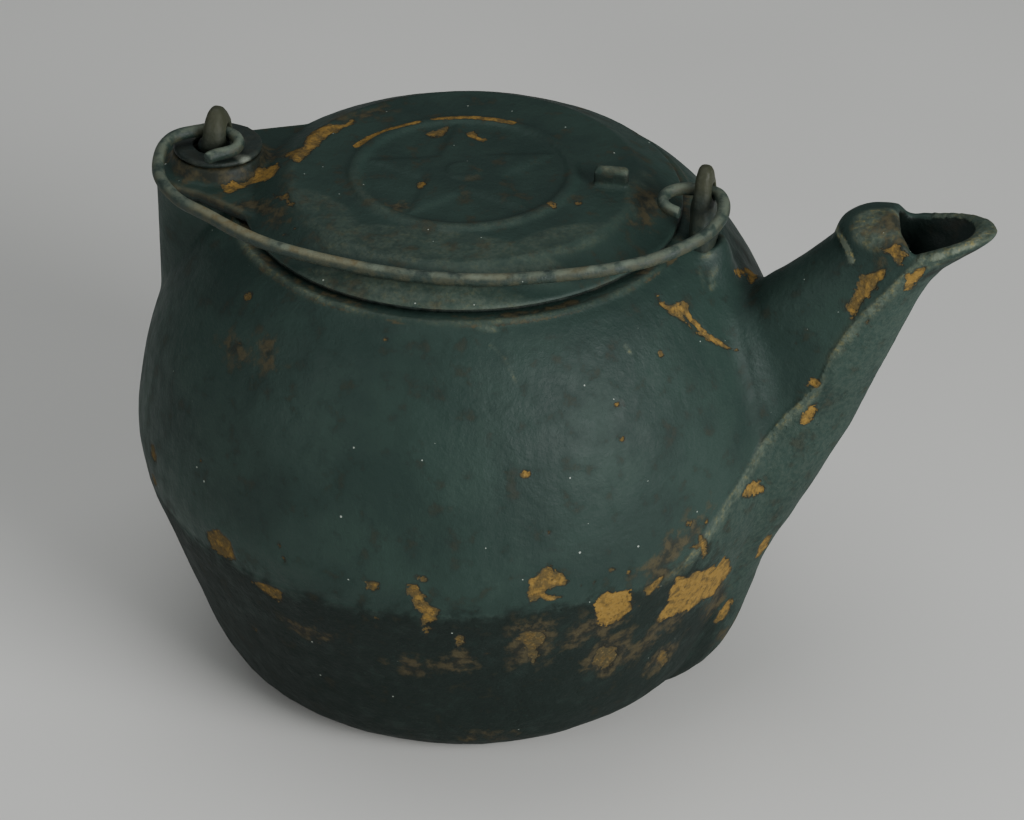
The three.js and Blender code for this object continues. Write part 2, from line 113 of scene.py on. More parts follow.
class Photo:
    """Finds the places of a solid that lie behind the photo's pixels."""

    def __init__(self, node):
        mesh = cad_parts[node].data
        corners = [corner.co for corner in mesh.vertices]
        self.tree = BVHTree.FromPolygons(corners, [face.vertices[:] for face in mesh.polygons])
        self.right, self.up, self.back = camera_directions()
        self.eye = CAMERA_TARGET + self.back * CAMERA_DISTANCE
        self.focus = CAMERA_LENS / SENSOR_WIDTH * PHOTO_WIDTH

    def place(self, x, y):
        """The place behind a pixel, in millimetres."""
        across = (x - PHOTO_WIDTH / 2) / self.focus
        rise = (PHOTO_HEIGHT / 2 - y) / self.focus
        way = self.right * across + self.up * rise - self.back
        return self.tree.ray_cast(self.eye, way)[0] / MM

    def whole(self, x, y):
        """The place behind a pixel, in whole millimetres."""
        return tuple(round(value) for value in self.place(x, y))

    def outlines(self, table):
        return [(bright, [self.whole(*pixel) for pixel in corners]) for bright, corners in table]

    def spots(self, table):
        """Turns the places, lengths and widths of spots from pixels to millimetres."""
        made = []
        for x, y, length, width, slant, bright in table:
            across = (self.place(x + 1, y) - self.place(x - 1, y)).length / 2
            down = (self.place(x, y + 1) - self.place(x, y - 1)).length / 2
            size = (round(length * across, 1), round(width * down, 1))
            made.append((*self.whole(x, y), *size, slant, bright))
        return made


def copy_of(node, name):
    """A welded copy of a solid, as an object of its own."""
    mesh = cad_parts[node].data.copy()
    mesh.name = name
    mesh.materials.clear()
    work = bmesh.new()
    work.from_mesh(mesh)
    bmesh.ops.remove_doubles(work, verts=work.verts, dist=MM / 100)
    work.to_mesh(mesh)
    work.free()
    return link(bpy.data.objects.new(name, mesh))


def apply_modifiers(obj):
    graph = bpy.context.evaluated_depsgraph_get()
    mesh = bpy.data.meshes.new_from_object(obj.evaluated_get(graph))
    old = obj.data
    obj.modifiers.clear()
    obj.data = mesh
    mesh.name = obj.name
    bpy.data.meshes.remove(old)


def remesh(obj, size):
    cells = obj.modifiers.new("cells", "REMESH")
    cells.mode = "VOXEL"
    cells.voxel_size = size
    apply_modifiers(obj)


def read(collection, field, width, kind=np.float32):
    values = np.empty(len(collection) * width, kind)
    collection.foreach_get(field, values)
    return values.reshape(-1, width) if width > 1 else values


def points_of(obj):
    return read(obj.data.vertices, "co", 3).astype(float)


def normals_of(obj):
    return read(obj.data.vertex_normals, "vector", 3).astype(float)


def edges_of(obj):
    return read(obj.data.edges, "vertices", 2, np.int32)


def surface_of(obj):
    """An object's points, their normals and its edges."""
    return points_of(obj), normals_of(obj), edges_of(obj)


def move_points(obj, points):
    obj.data.vertices.foreach_set("co", points.astype(np.float32).ravel())
    obj.data.update()


def store(obj, **layers):
    """Keeps values of the points for the materials."""
    for name, values in layers.items():
        layer = obj.data.attributes.new(name, "FLOAT", "POINT")
        layer.data.foreach_set("value", values.astype(np.float32))


def neighbour_mean(values, edges):
    """The mean of each point's neighbours."""
    count = np.bincount(edges.ravel(), minlength=len(values))
    total = np.zeros_like(values)
    for k in range(values.shape[1]):
        total[:, k] += np.bincount(edges[:, 0], values[edges[:, 1], k], len(values))
        total[:, k] += np.bincount(edges[:, 1], values[edges[:, 0], k], len(values))
    return total / np.maximum(count, 1)[:, None]


def relax(points, edges, rounds, weight=None):
    """Moves each point towards its neighbours, as far as its weight lets it."""
    if weight is None:
        weight = np.ones(len(points))
    chosen = weight > 0.01
    some = edges[chosen[edges[:, 0]] | chosen[edges[:, 1]]]
    used, number = np.unique(some, return_inverse=True)
    number = number.reshape(some.shape)
    part = points[used]
    share = (weight[used] / 2)[:, None]
    for _ in range(rounds):
        part = part + share * (neighbour_mean(part, number) - part)
    points = points.copy()
    points[used] = part
    return points


def spread_out(mask, edges, rings, soft=3):
    """Widens a mask by so many rings of points and softens its edge."""
    for _ in range(rings):
        wider = mask.copy()
        np.maximum.at(wider, edges[:, 0], mask[edges[:, 1]])
        np.maximum.at(wider, edges[:, 1], mask[edges[:, 0]])
        mask = wider
    for _ in range(soft):
        mask = neighbour_mean(mask[:, None], edges)[:, 0]
    return mask


def bulge(points, normals, edges, voxel):
    """How far each point stands out of its neighbourhood, in cells, and less than 0 in a crease."""
    middle = neighbour_mean(neighbour_mean(points, edges), edges)
    return ((points - middle) * normals).sum(1) / voxel


def outward_edges(points, normals, edges, voxel, rings):
    """1 on and near the outward edges, 0 on the broad faces and in the creases."""
    return spread_out(step(bulge(points, normals, edges, voxel), 0.12, 0.3), edges, rings)


def fill_creases(points, normals, edges, voxel, rings, rounds, where):
    """Rounds the inward creases as a casting's fillets do."""
    mask = step(-bulge(points, normals, edges, voxel), 0.05, 0.16) * where
    return relax(points, edges, rounds, spread_out(mask, edges, rings, rings))


def soften(obj, rounds, weight):
    """Relaxes an object's points where the weight lets it."""
    move_points(obj, relax(points_of(obj), edges_of(obj), rounds, weight))


def round_off(points):
    """Turns the solids' 64-sided rings about the Z axis into circles."""
    spacing = 2 * math.pi / TURNED_FACETS
    turn = np.arctan2(points[:, 1], points[:, 0])
    reach = math.cos(spacing / 2) / np.cos(np.mod(turn, spacing) - spacing / 2)
    radius = away_from(points)
    share = step(radius, TURNED_END, TURNED_REACH)
    points = points.copy()
    points[:, :2] *= (1 + share * (1 / reach - 1))[:, None]
    return points


def fine_copy(node, name, voxel, turned=False):
    """A fine mesh of a solid."""
    obj = copy_of(node, name)
    if turned:
        move_points(obj, round_off(points_of(obj)))
    remesh(obj, voxel)
    points, edges = points_of(obj), edges_of(obj)
    move_points(obj, relax(points, edges, 2))
    return obj


def lattice(cell, seed):
    """Random values of -1 to 1 on a grid of whole numbers."""
    mixed = cell[0] * 73856093 ^ cell[1] * 19349663 ^ cell[2] * 83492791 ^ seed * 50331653
    mixed = (mixed ^ (mixed >> 13)) * 1274126177
    return ((mixed ^ (mixed >> 16)) & 0xFFFF) / 0x7FFF - 1


def lumps(points, size, seed):
    """Smooth noise of about -1 to 1 whose lumps are size across."""
    place = points / size + seed * 7.31
    cell = np.floor(place).astype(np.int64)
    part = place - cell
    part = part * part * (3 - 2 * part)
    total = np.zeros(len(points))
    for corner in itertools.product((0, 1), repeat=3):
        weight = np.ones(len(points))
        for k in range(3):
            weight = weight * (part[:, k] if corner[k] else 1 - part[:, k])
        total += weight * lattice([cell[:, k] + corner[k] for k in range(3)], seed)
    return total


def band(values, middle, width):
    """1 at the middle of a band and less to both sides."""
    return np.exp(-(((values - middle) / width) ** 2))


def away_from(points, x=0.0, y=0.0):
    """How far each point is from an upright line."""
    return np.hypot(points[:, 0] - x, points[:, 1] - y)


def step(values, low, high):
    """0 at low, 1 at high, smoothly and no further."""
    t = np.clip((values - low) / (high - low), 0, 1)
    return t * t * (3 - 2 * t)


def plane_at(points, normals, place, slant=0.0):
    """The nearest point of a mesh with two directions along its surface and one out of it."""
    nearest = np.argmin(((points - place) ** 2).sum(1))
    up = normals[nearest]
    east = np.cross((0, 0, 1), up) if abs(up[2]) < 0.8 else np.array((1.0, 0, 0))
    east = east - up * east.dot(up)
    east /= np.linalg.norm(east)
    north = np.cross(up, east)
    turn = math.radians(slant)
    along = east * math.cos(turn) + north * math.sin(turn)
    return points[nearest], along, np.cross(up, along), up


def near_plane(points, normals, centre, up, reach):
    away = points - centre
    within = (away ** 2).sum(1) < reach ** 2
    return np.flatnonzero(within & (np.abs(away @ up) < 20 * MM) & (normals @ up > 0.1))


def spot_depth(points, normals, spot):
    """Which points lie near an oval spot, and how many millimetres inside its edge."""
    x, y, z, length, width, slant = spot[:6]
    centre, along, across, up = plane_at(points, normals, np.array((x, y, z)) * MM, slant)
    near = near_plane(points, normals, centre, up, (length + width) * MM)
    away = (points[near] - centre) / MM
    share = np.hypot(away @ along / (length / 2), away @ across / (width / 2))
    return near, (1 - share) * min(length, width) / 2


def outline_depth(points, normals, outline):
    """Which points lie near a closed outline, and how many millimetres inside it."""
    corners = np.array(outline, float) * MM
    middle = corners.mean(0)
    centre, along, across, up = plane_at(points, normals, middle)
    flat = np.stack([(corners - middle) @ along, (corners - middle) @ across], 1) / MM
    near = near_plane(points, normals, middle, up, np.abs(flat).max() * 1.5 * MM + 6 * MM)
    away = (points[near] - middle) / MM
    place = np.stack([away @ along, away @ across], 1)
    nearest = np.full(len(near), FAR)
    inside = np.zeros(len(near), bool)
    for first, second in zip(flat, np.roll(flat, -1, 0)):
        side = second - first
        back = place - first
        t = np.clip(back @ side / max(side @ side, 1e-9), 0, 1)
        nearest = np.minimum(nearest, np.linalg.norm(back - t[:, None] * side, axis=1))
        crosses = (first[1] > place[:, 1]) != (second[1] > place[:, 1])
        with np.errstate(divide="ignore", invalid="ignore"):
            reach = first[0] + (place[:, 1] - first[1]) * side[0] / side[1]
        inside ^= crosses & (place[:, 0] < reach)
    return near, np.where(inside, nearest, -nearest)


def streak_depth(points, path, width):
    """How many steepened millimetres inside a narrow streak along a path of places each point lies."""
    nearest = np.full(len(points), FAR)
    corners = np.array(path, float) * MM
    low, high = corners.min(0) - 6 * MM, corners.max(0) + 6 * MM
    near = np.flatnonzero(((points > low) & (points < high)).all(1))
    for first, second in zip(corners, corners[1:]):
        side = second - first
        t = np.clip((points[near] - first) @ side / (side @ side), 0, 1)
        away = np.linalg.norm(points[near] - first - t[:, None] * side, axis=1)
        nearest[near] = np.minimum(nearest[near], away / MM)
    return np.maximum((width / 2 - nearest) * 2.5, NO_CHIP)


def with_streaks(points, depth, tone, streaks):
    """Adds narrow bare streaks to the depth and the brightness of the chips."""
    for bright, width, path in streaks:
        streak = streak_depth(points, path, width)
        tone = np.where(streak > depth, bright, tone)
        depth = np.maximum(depth, streak)
    return depth, tone


def pale_layer(points, normals, spots, streaks):
    """How pale the paint is made in soft spots and along narrow scratches: rubbed paint, and painted light
    on the lid's near flange.
    """
    depth, share = chip_layers(points, normals, [], spots)
    rubbed_and_lit = step(depth, -1.0, 1.5) * share
    for strength, width, path in streaks:
        rubbed_and_lit = np.maximum(rubbed_and_lit, step(streak_depth(points, path, width), -0.6, 1.2) * strength)
    return rubbed_and_lit


def chip_layers(points, normals, outlines, spots):
    """Depth inside the nearest chip in millimetres, and how bright its rust is."""
    depth = np.full(len(points), NO_CHIP)
    tone = np.zeros(len(points))
    found = [(outline_depth(points, normals, outline), bright) for bright, outline in outlines]
    found += [(spot_depth(points, normals, spot), spot[6]) for spot in spots]
    for (near, inner), bright in found:
        higher = inner > depth[near]
        chosen = near[higher]
        depth[chosen] = inner[higher]
        tone[chosen] = bright
    return depth, tone


# Chips in the body's paint down to rust that the photo shows: how bright the rust is, from 0 for
# dark brown to 1 for ochre, and the chip's corners in the photo's pixels
BODY_CHIP_PIXELS = [
    (0.55, [(204.5, 532), (212, 528.5), (219, 531), (230.5, 540.7), (238.3, 561.5), (231.8, 562.3),
            (218.8, 554.5), (210, 547)]),
    (0.5, [(249.2, 577.5), (260, 581.8), (273, 586.2), (286, 592.7), (280.8, 605.7), (277.3, 600.5),
           (264.3, 593.5), (255.7, 586.2)]),
    (0.55, [(363, 580.5), (372.7, 578.8), (382.2, 581.8), (381.3, 588.3), (374.8, 593.5),
            (366.2, 589.2)]),
    (0.6, [(407.3, 584), (418.2, 584), (426.8, 594.8), (429, 603.5), (439.8, 610), (438.5, 617.8),
           (429, 623), (433.3, 628.2), (424.7, 635.1), (421.2, 627.3), (419.5, 614.3), (413.8, 605.7),
           (406.5, 591.8)]),
    (0.45, [(450.7, 641.2), (459.3, 632.5), (468, 636), (465.8, 643.8), (457.2, 648.1)]),
    (0.6, [(547, 563.4), (559.3, 571.2), (571, 581.3), (565.3, 586.7), (553, 588.3), (546.9, 593.7),
           (565.8, 596.8), (553.6, 603), (541.4, 599.9), (529.1, 603.8), (525.8, 598), (529.2, 580.5),
           (540.8, 571.2)]),
    (1.0, [(602.3, 593.5), (608.8, 590.5), (615.3, 591.8), (624, 589.2), (631.8, 588.3),
           (630.5, 601.3), (632.7, 610), (624, 614.3), (617.5, 620.8), (604.5, 627.3), (597.2, 623),
           (595.8, 612.2), (593.7, 603.5)]),
    (0.55, [(641.3, 588.3), (652.2, 581.8), (658.7, 576.2), (665.2, 573.2), (666.5, 578.8),
            (656.5, 590.5), (645.7, 597.9), (641.3, 593.5)]),
    (0.85, [(671.7, 588.3), (676.9, 576.2), (689, 577.5), (693.3, 571.9), (702, 571), (712.8, 564.5),
            (715, 568.8), (723.7, 555.8), (727.1, 560.2), (730.2, 568.8), (719.3, 584), (712.8, 593.5),
            (699.8, 601.3), (689, 610), (676, 613.5), (663, 620.8), (656.5, 622.1), (660.8, 614.3),
            (667.3, 603.5)]),
    (0.6, [(689, 547.2), (697.7, 544.1), (699.8, 532.9), (704.2, 532), (706.3, 545), (707.2, 554.5),
           (702, 557.1), (697.7, 549.3)]),
    (0.6, [(719.3, 610), (728, 599.2), (733.2, 597), (731.5, 605.7), (723.7, 618.7), (715, 624.3),
           (712.8, 620.8)]),
    (0.75, [(768, 531), (770, 536), (765, 547), (758.3, 555.8), (754, 559), (756.2, 551.5), (761, 540)]),
    (0.9, [(741, 496.5), (747.5, 484.3), (756.2, 480.5), (762.7, 486.5), (760.5, 493), (749.7, 495.2)]),
    (0.15, [(515.7, 633.8), (526.5, 629.5), (546, 629.5), (552.5, 635.1), (548.2, 642.5), (539.5, 649),
            (541.7, 655.5), (535.2, 666.3), (526.5, 662), (524.3, 653.3), (520, 644.7), (513.5, 641.2)]),
    (0.12, [(591.5, 653.3), (602.3, 642.5), (611, 643.8), (619.7, 644.7), (620.5, 657.7), (611, 666.3),
            (604.5, 677.2), (595.8, 668.5), (589.3, 664.2)]),
    (0.3, [(656.5, 653.3), (663, 646.8), (670.8, 649), (669.5, 659.8), (660.8, 670.7), (655.2, 662)]),
    (0.1, [(244.8, 618.7), (260, 629.5), (259.1, 636.9), (251.3, 629.5)]),
    (0.7, [(654.9, 293.8), (660.2, 294.8), (662, 299.8), (672.6, 305.4), (683.2, 301.9),
           (688.5, 304.4), (689.2, 311.4), (684.9, 317.4), (692, 325.6), (706.1, 333.7), (722, 343),
           (735, 350), (709.7, 341), (695.5, 332.6), (684.9, 323.8), (674.3, 316), (663.7, 309),
           (656.7, 302.6)]),
    (0.9, [(736.2, 269), (743.2, 270.1), (754.9, 276.1), (756.3, 279.6), (751.4, 284.2),
           (743.2, 279.6), (737.9, 276.1)]),
    (0.7, [(861.6, 272.6), (868.7, 272.6), (886.3, 269), (887, 272.6), (877.5, 288.5),
           (861.6, 306.1), (852.8, 320.3), (847.5, 316), (844.6, 306.1), (854.5, 290.2)]),
    (0.9, [(905.8, 274.3), (916.4, 269.5), (926, 267), (925, 270.8), (918.1, 277.9), (909.3, 289.2),
           (904, 288.5), (904.7, 281.4)]),
    (0.7, [(893, 245.5), (900.7, 244.5), (906, 256), (904, 264.5), (897, 264), (889, 254), (880.5, 250.5)]),
]
# Smaller ones: the place, length and width in the photo's pixels, the slant in degrees and the
# brightness
BODY_SPOT_PIXELS = [
    (248, 296, 11, 9, 0, 0.6), (240, 343, 15.8, 6.5, 8, 0.2), (268, 353, 10.7, 6, 70, 0.25),
    (385, 342, 9, 8, 0, 0.5), (200, 461, 5, 5, 0, 0.6), (525, 474, 9, 9, 0, 0.8),
    (618, 403, 9, 6, 0, 0.7), (620, 439, 9, 9, 0, 0.5), (660, 353, 7, 7, 0, 0.5),
    (796, 345, 6, 8, 0, 0.4), (280.4, 547, 5, 9, 0, 0.5), (282.5, 560, 7, 9, 0, 0.5),
    (422.5, 578.4, 13, 8, 0, 0.6), (377, 618.7, 9, 6, 0, 0.5), (595.8, 581.8, 6, 10, 0, 0.4),
    (611, 572.3, 9, 6, 0, 0.5), (629.2, 573.2, 7, 13, 0, 0.45), (580.7, 584, 5, 6, 0, 0.4),
    (689, 522, 8, 8, 0, 0.6), (706.3, 522, 6, 10, 0, 0.6), (550.3, 532, 8, 8, 0, 0.4),
    (810, 415, 22, 9.3, 65, 0.9), (814, 382, 13, 9, 0, 0.7), (808, 386, 6, 6, 0, 0.6),
    (857, 336, 5, 6, 0, 0.5), (868, 320, 5, 6, 0, 0.6), (871, 325, 4, 4, 0, 0.6),
    (476, 612, 6, 6, 0, 0.2), (575, 620, 10, 3.8, 0, 0.1), (640, 605, 8, 3.8, 0, 0.2),
]
# Chips listed on the solid: the place, length and width in millimetres, slant and brightness
BODY_SPOTS = [
    (37, -112, 62, 5, 2.4, 20, 0.1), (102, -51, 88, 6, 3, 40, 0.5), (110, -27, 66, 7, 2.4, 50, 0.35),
]
# Places where the paint is thin and the iron under it is brown, as place, length, width, slant
BODY_STAINS = [
    (26, -109, 59, 10, 13, 0), (9, -111, 56, 13, 9, 0), (76, -80, 50, 22, 26, 20),
    (89, -53, 34, 14, 15, 0), (-62, -83, 162, 20, 8, 10), (-49, -88, 166, 12, 8, 0),
    (52, -104, 66, 20, 26, 0), (161, -5, 201, 12, 16, 0), (162, -13, 198, 10, 12, 0),
    (72, -90, 70, 26, 16, 20), (92, -62, 56, 30, 14, 30),
    (-30, -113, 62, 16, 8, 0), (-8, -98, 150, 16, 12, 0), (-26, -104, 146, 12, 10, 0),
    (96, -74, 96, 34, 12, 30),
    (33, -89, 13, 12, 5, 0), (105, -30, 46, 12, 20, 50), (101, -10, 20, 12, 10, 0),
]
# Places where the paint is rubbed pale, as place, length, width, slant and how far
BODY_PALE = [
    (157, -6, 201, 22, 20, 0, 0.6), (186, -9, 198, 26, 3, 10, 0.6), (178, -13, 194, 16, 3, 20, 0.35),
    (195, 2, 203, 4, 14, 0, 0.6), (29, -81, 184, 6, 2.5, 0, 1.2), (94, -9, 181, 5, 3, 0, 0.6),
    (95, -10, 174, 6, 3, 40, 0.5), (96, -14, 171, 5, 2.5, 0, 0.5), (93, -16, 176, 6, 2, 60, 0.4),
]
# Narrow streaks down to rust, and narrow pale scratches: how bright or pale, the width, the way
BODY_STREAKS = [
    (0.75, 2.4, [(90, -34, 173), (93, -34, 169), (96, -33, 165), (100, -31, 160), (103, -28, 156)]),
    (0.65, 1.5, [(103, -28, 156), (107, -23, 151)]),
]
BODY_SCRATCHES = [
    (1.8, 3, [(139, 1, 195), (139, -2, 195), (142, -8, 195), (145, -11, 193), (147, -13, 189)]),
    (0.5, 1.0, [(32, -85, 179), (36, -86, 176), (39, -88, 174), (42, -90, 168)]),
    (0.6, 1.4, [(75, -62, 172), (77, -62, 169)]), (0.4, 1.0, [(93, 30, 171), (97, 33, 164)]),
    (1.6, 3.2, [(177, -16, 196), (182, -15, 198), (186, -12, 200), (190, -8, 200), (193, -2, 201)]),
]
# The washer's bright edge, given as the body's pale places are
WASHER_PALE = [(-80, -9.5, 198, 4, 7, 30, 1)]
# Stretches of the bail along X that are rubbed to tan, and how far
WIRE_WORN = [(-88, -54, 0.9), (-49, -17, 0.85), (18, 36, 0.5), (52, 62, 0.5), (-14, -4, 0.3)]
# The lid's chips, spots, stains and pale places, given as the body's are
LID_CHIP_PIXELS = [
    (0.85, [(221.7, 186.1), (228.9, 184.6), (244.7, 183.2), (251.8, 177.5), (261.9, 168.9),
            (271.9, 166), (277.6, 163.1), (279.1, 168.9), (273.3, 176), (263.3, 181.8),
            (250.4, 183.2), (243.2, 187.5), (230.3, 192.4), (223.2, 191.2)]),
    (0.7, [(284.8, 153.1), (292, 151.7), (304.9, 147.4), (306.3, 137.3), (316.3, 128.7),
           (330.7, 123.6), (343.6, 123.6), (353.6, 118.7), (355, 123), (343.6, 128.7),
           (330.7, 135.9), (319.2, 144.5), (307.7, 156), (299.1, 163.7), (293.4, 161.7), (286.2, 156)]),
    (0.5, [(270.5, 194.7), (279.1, 194.1), (287.7, 191.2), (290.5, 196.1), (294.8, 203.3),
           (294, 209.6), (287.7, 207.6), (281.9, 201.8), (273.3, 199)]),
    (0.6, [(422.4, 133), (435.3, 130.2), (448.2, 126.4), (449.6, 131.6), (442.5, 136.8),
           (429.6, 136.8)]),
    (0.75, [(464, 131.6), (475.4, 131), (478.3, 135.9), (486.9, 138.8), (484, 142.5), (474, 140.2),
            (466.8, 135.9)]),
]
LID_SPOT_PIXELS = [
    (294.8, 229.1, 9, 4, 0, 0.4), (286.2, 234.8, 11, 4, 0, 0.4), (399.5, 207.6, 18, 3.3, 0, 0.3),
    (550, 203.3, 10, 4.4, 0, 0.7), (577, 204, 7, 5, 0, 0.6), (511, 103.5, 8, 4, 0, 0.3),
    (582, 109, 3.08, 1.18, 0, 0.5), (397, 240, 5, 5, 0, 0.4), (448, 258, 5, 3.8, 0, 0.4),
]
LID_SPOTS = [(-12.5, -13, 198, 3.2, 4.4, 0, 0.8), (-40, 40, 196, 9, 2.4, 30, 0.1)]
LID_STAINS = [
    (68, 0, 195, 12, 26, 10), (-15, -29, 198, 10, 6, 0),
    (-96, -18, 193, 14, 7, 0), (-84, -16, 193, 14, 7, 10), (-76, 6, 192, 8, 12, 0),
    (-66, -34, 192, 22, 8, -28), (-50, 34, 197, 16, 5, 30),
]
# The first three ovals and the last, along the near flange and rim, are painted light on the slope facing
# the front; the three about the finger tab are rubbed paint
LID_PALE_AND_LIT = [
    (4, -54, 197, 96, 24, 0, 0.26), (45, -38, 197, 40, 16, 42, 0.26), (-42, -40, 196, 40, 18, -42, 0.2),
    (55, 4.5, 205, 12, 4, 0, 0.8), (55, 1, 201, 12, 6, 0, 0.3), (67, 4, 196, 15, 34, 10, 0.2),
    (0, -74, 191, 110, 16, 0, 0.36),
]
# Streaks of bare iron along the raised ring: how bright, the width, the way
LID_STREAKS = [
    (0.85, 3.6, [(-43, 10.5, 198.3), (-40, 17.5, 198.6), (-36, 23, 198.8), (-31, 27.5, 198.8),
                 (-26, 31.5, 198.8)]),
    (0.8, 3.2, [(-20.5, 35.5, 198.8), (-14, 38, 198.8), (-8, 39.6, 198.8)]),
    (0.8, 3.2, [(-5.5, 40, 198.8), (1.5, 40.4, 198.8), (8.7, 39.4, 198.8)]),
]
# Rings on the lid: the radius of the raised ring and of the outer step
RING_RADIUS = 40.4 * MM
LID_STEP_RADIUS = 64.2 * MM


def scattered_spots(count, seed, low, high, sides):
    """Chips for the sides that the camera doesn't see, most of them near the foot."""
    dice = random.Random(seed)
    made = []
    for _ in range(count):
        turn = math.radians(dice.uniform(*sides))
        height = low + (high - low) * dice.random() ** 1.4
        length = 3 + 13 * dice.random() ** 2.2
        width = length * dice.uniform(0.45, 0.8)
        place = (SCATTER_RADIUS * math.cos(turn), SCATTER_RADIUS * math.sin(turn), height)
        made.append((*place, length, width, dice.uniform(-70, 70), dice.uniform(0.1, 0.9)))
    return made


class Nodes:
    """Builds a node material with few words."""

    def __init__(self, name):
        self.material = bpy.data.materials.new(name)
        self.material.use_nodes = True
        self.tree = self.material.node_tree
        self.tree.nodes.clear()
        self.out = self.make("ShaderNodeOutputMaterial")
        self.shader = self.make("ShaderNodeBsdfPrincipled")
        self.link(self.shader.outputs[0], self.out.inputs["Surface"])
        self.place = self.make("ShaderNodeTexCoord").outputs["Object"]

    def make(self, kind, **settings):
        node = self.tree.nodes.new(kind)
        for key, value in settings.items():
            setattr(node, key, value)
        return node

    def link(self, source, socket):
        self.tree.links.new(source, socket)

    def feed(self, socket, value):
        if isinstance(value, bpy.types.NodeSocket):
            self.link(value, socket)
        else:
            socket.default_value = value

    def math(self, operation, first, second=0.0, third=0.0, clamp=False):
        node = self.make("ShaderNodeMath", operation=operation, use_clamp=clamp)
        for socket, value in zip(node.inputs, (first, second, third)):
            self.feed(socket, value)
        return node.outputs[0]

    def times(self, first, second):
        return self.math("MULTIPLY", first, second)

    def noise(self, size, detail=3.0, roughness=0.5, distortion=0.0, place=None):
        node = self.make("ShaderNodeTexNoise")
        self.link(place or self.place, node.inputs["Vector"])
        node.inputs["Scale"].default_value = 1 / (size * MM)
        node.inputs["Detail"].default_value = detail
        node.inputs["Roughness"].default_value = roughness
        node.inputs["Distortion"].default_value = distortion
        return node.outputs["Fac"]

    def cells(self, size, feature="F1", output="Distance"):
        node = self.make("ShaderNodeTexVoronoi", feature=feature)
        self.link(self.place, node.inputs["Vector"])
        node.inputs["Scale"].default_value = 1 / (size * MM)
        return node.outputs[output]

    def layer(self, name):
        return self.make("ShaderNodeAttribute", attribute_name=name).outputs["Fac"]

    def span(self, value, low, high, start=0.0, end=1.0):
        """The value's way from low to high, smoothly and no further, as start to end."""
        node = self.make("ShaderNodeMapRange", interpolation_type="SMOOTHSTEP")
        for socket, number in zip(node.inputs, (value, low, high, start, end)):
            self.feed(socket, number)
        return node.outputs[0]

    def mix(self, share, first, second, blend="MIX"):
        node = self.make("ShaderNodeMix", data_type="RGBA", blend_type=blend)
        self.feed(node.inputs[0], share)
        self.feed(node.inputs[6], first)
        self.feed(node.inputs[7], second)
        return node.outputs[2]

    def bump(self, height, depth, below=None):
        """Bump of a height of 0 to 1 that stands for depth in millimetres."""
        node = self.make("ShaderNodeBump")
        node.inputs["Strength"].default_value = 1.0
        self.link(height, node.inputs["Height"])
        node.inputs["Distance"].default_value = depth * MM
        if below is not None:
            self.link(below, node.inputs["Normal"])
        return node.outputs[0]

    def finish(self, colour, roughness, normal):
        self.feed(self.shader.inputs["Base Color"], colour)
        self.feed(self.shader.inputs["Roughness"], roughness)
        self.link(normal, self.shader.inputs["Normal"])
        return self.material


def colour(red, green, blue):
    """A colour of 0 to 255 as seen on a screen, made linear."""
    made = [c / 255 for c in (red, green, blue)]
    return tuple(c / 12.92 if c < 0.04045 else ((c + 0.055) / 1.055) ** 2.4 for c in made) + (1.0,)


PAINT = colour(31, 48, 43)
PAINT_PALE = colour(45, 64, 57)
PAINT_DARK = colour(20, 32, 29)
# The dark colour of soot below and of painted shade on faces turned down
SOOT_AND_SHADE = colour(10, 21, 17)
OCHRE = colour(131, 104, 50)
OCHRE_PALE = colour(152, 130, 80)
RUST = colour(90, 75, 43)
BROWN = colour(72, 65, 44)
DARK_BROWN = colour(34, 34, 27)
DUST = colour(196, 204, 194)
WORN_AND_LIT_PAINT = colour(96, 106, 92)
YELLOWISH = colour(140, 132, 84)
HOLLOW = colour(17, 26, 23)


def rust_colour(nodes, tone, depth):
    """Dark brown to bright ochre rust, mottled and darker towards the chip's edge."""
    middle = nodes.noise(3.2, 4, 0.65)
    fine = nodes.noise(1.0, 3, 0.6)
    level = nodes.math("ADD", tone, nodes.span(middle, 0.3, 0.7, -0.42, 0.34))
    level = nodes.math("ADD", level, nodes.span(depth, 0.1, 1.4, -0.35, 0))
    made = nodes.mix(nodes.span(level, 0.0, 0.45), BROWN, RUST)
    made = nodes.mix(nodes.span(level, 0.42, 1.0), made, OCHRE)
    made = nodes.mix(nodes.span(fine, 0.56, 0.78, 0, 0.5), made, OCHRE_PALE)
    return nodes.mix(nodes.span(fine, 0.46, 0.28, 0, 0.65), made, DARK_BROWN)


def dusted(nodes, base, share):
    """Pale grains lying on a surface, in the given share of its cells."""
    near = nodes.cells(3.6)
    lone = nodes.cells(3.6, output="Color")
    chosen = nodes.math("GREATER_THAN", lone, 1 - share)
    size = nodes.span(lone, 1 - share, 1.0, 0.06, 0.13)
    speck = nodes.times(chosen, nodes.math("LESS_THAN", near, size))
    return nodes.mix(nodes.times(speck, 0.55), base, DUST)


def flake_edge(nodes):
    """Ragged, partly angular shift in millimetres of the edges where paint has flaked off."""
    cells = nodes.cells(1.9, output="Color")
    steps = nodes.times(nodes.math("SUBTRACT", cells, 0.5), 1.5)
    wander = nodes.span(nodes.noise(3.4, 3, 0.6), 0.25, 0.75, -0.45, 0.45)
    return nodes.math("ADD", steps, wander)


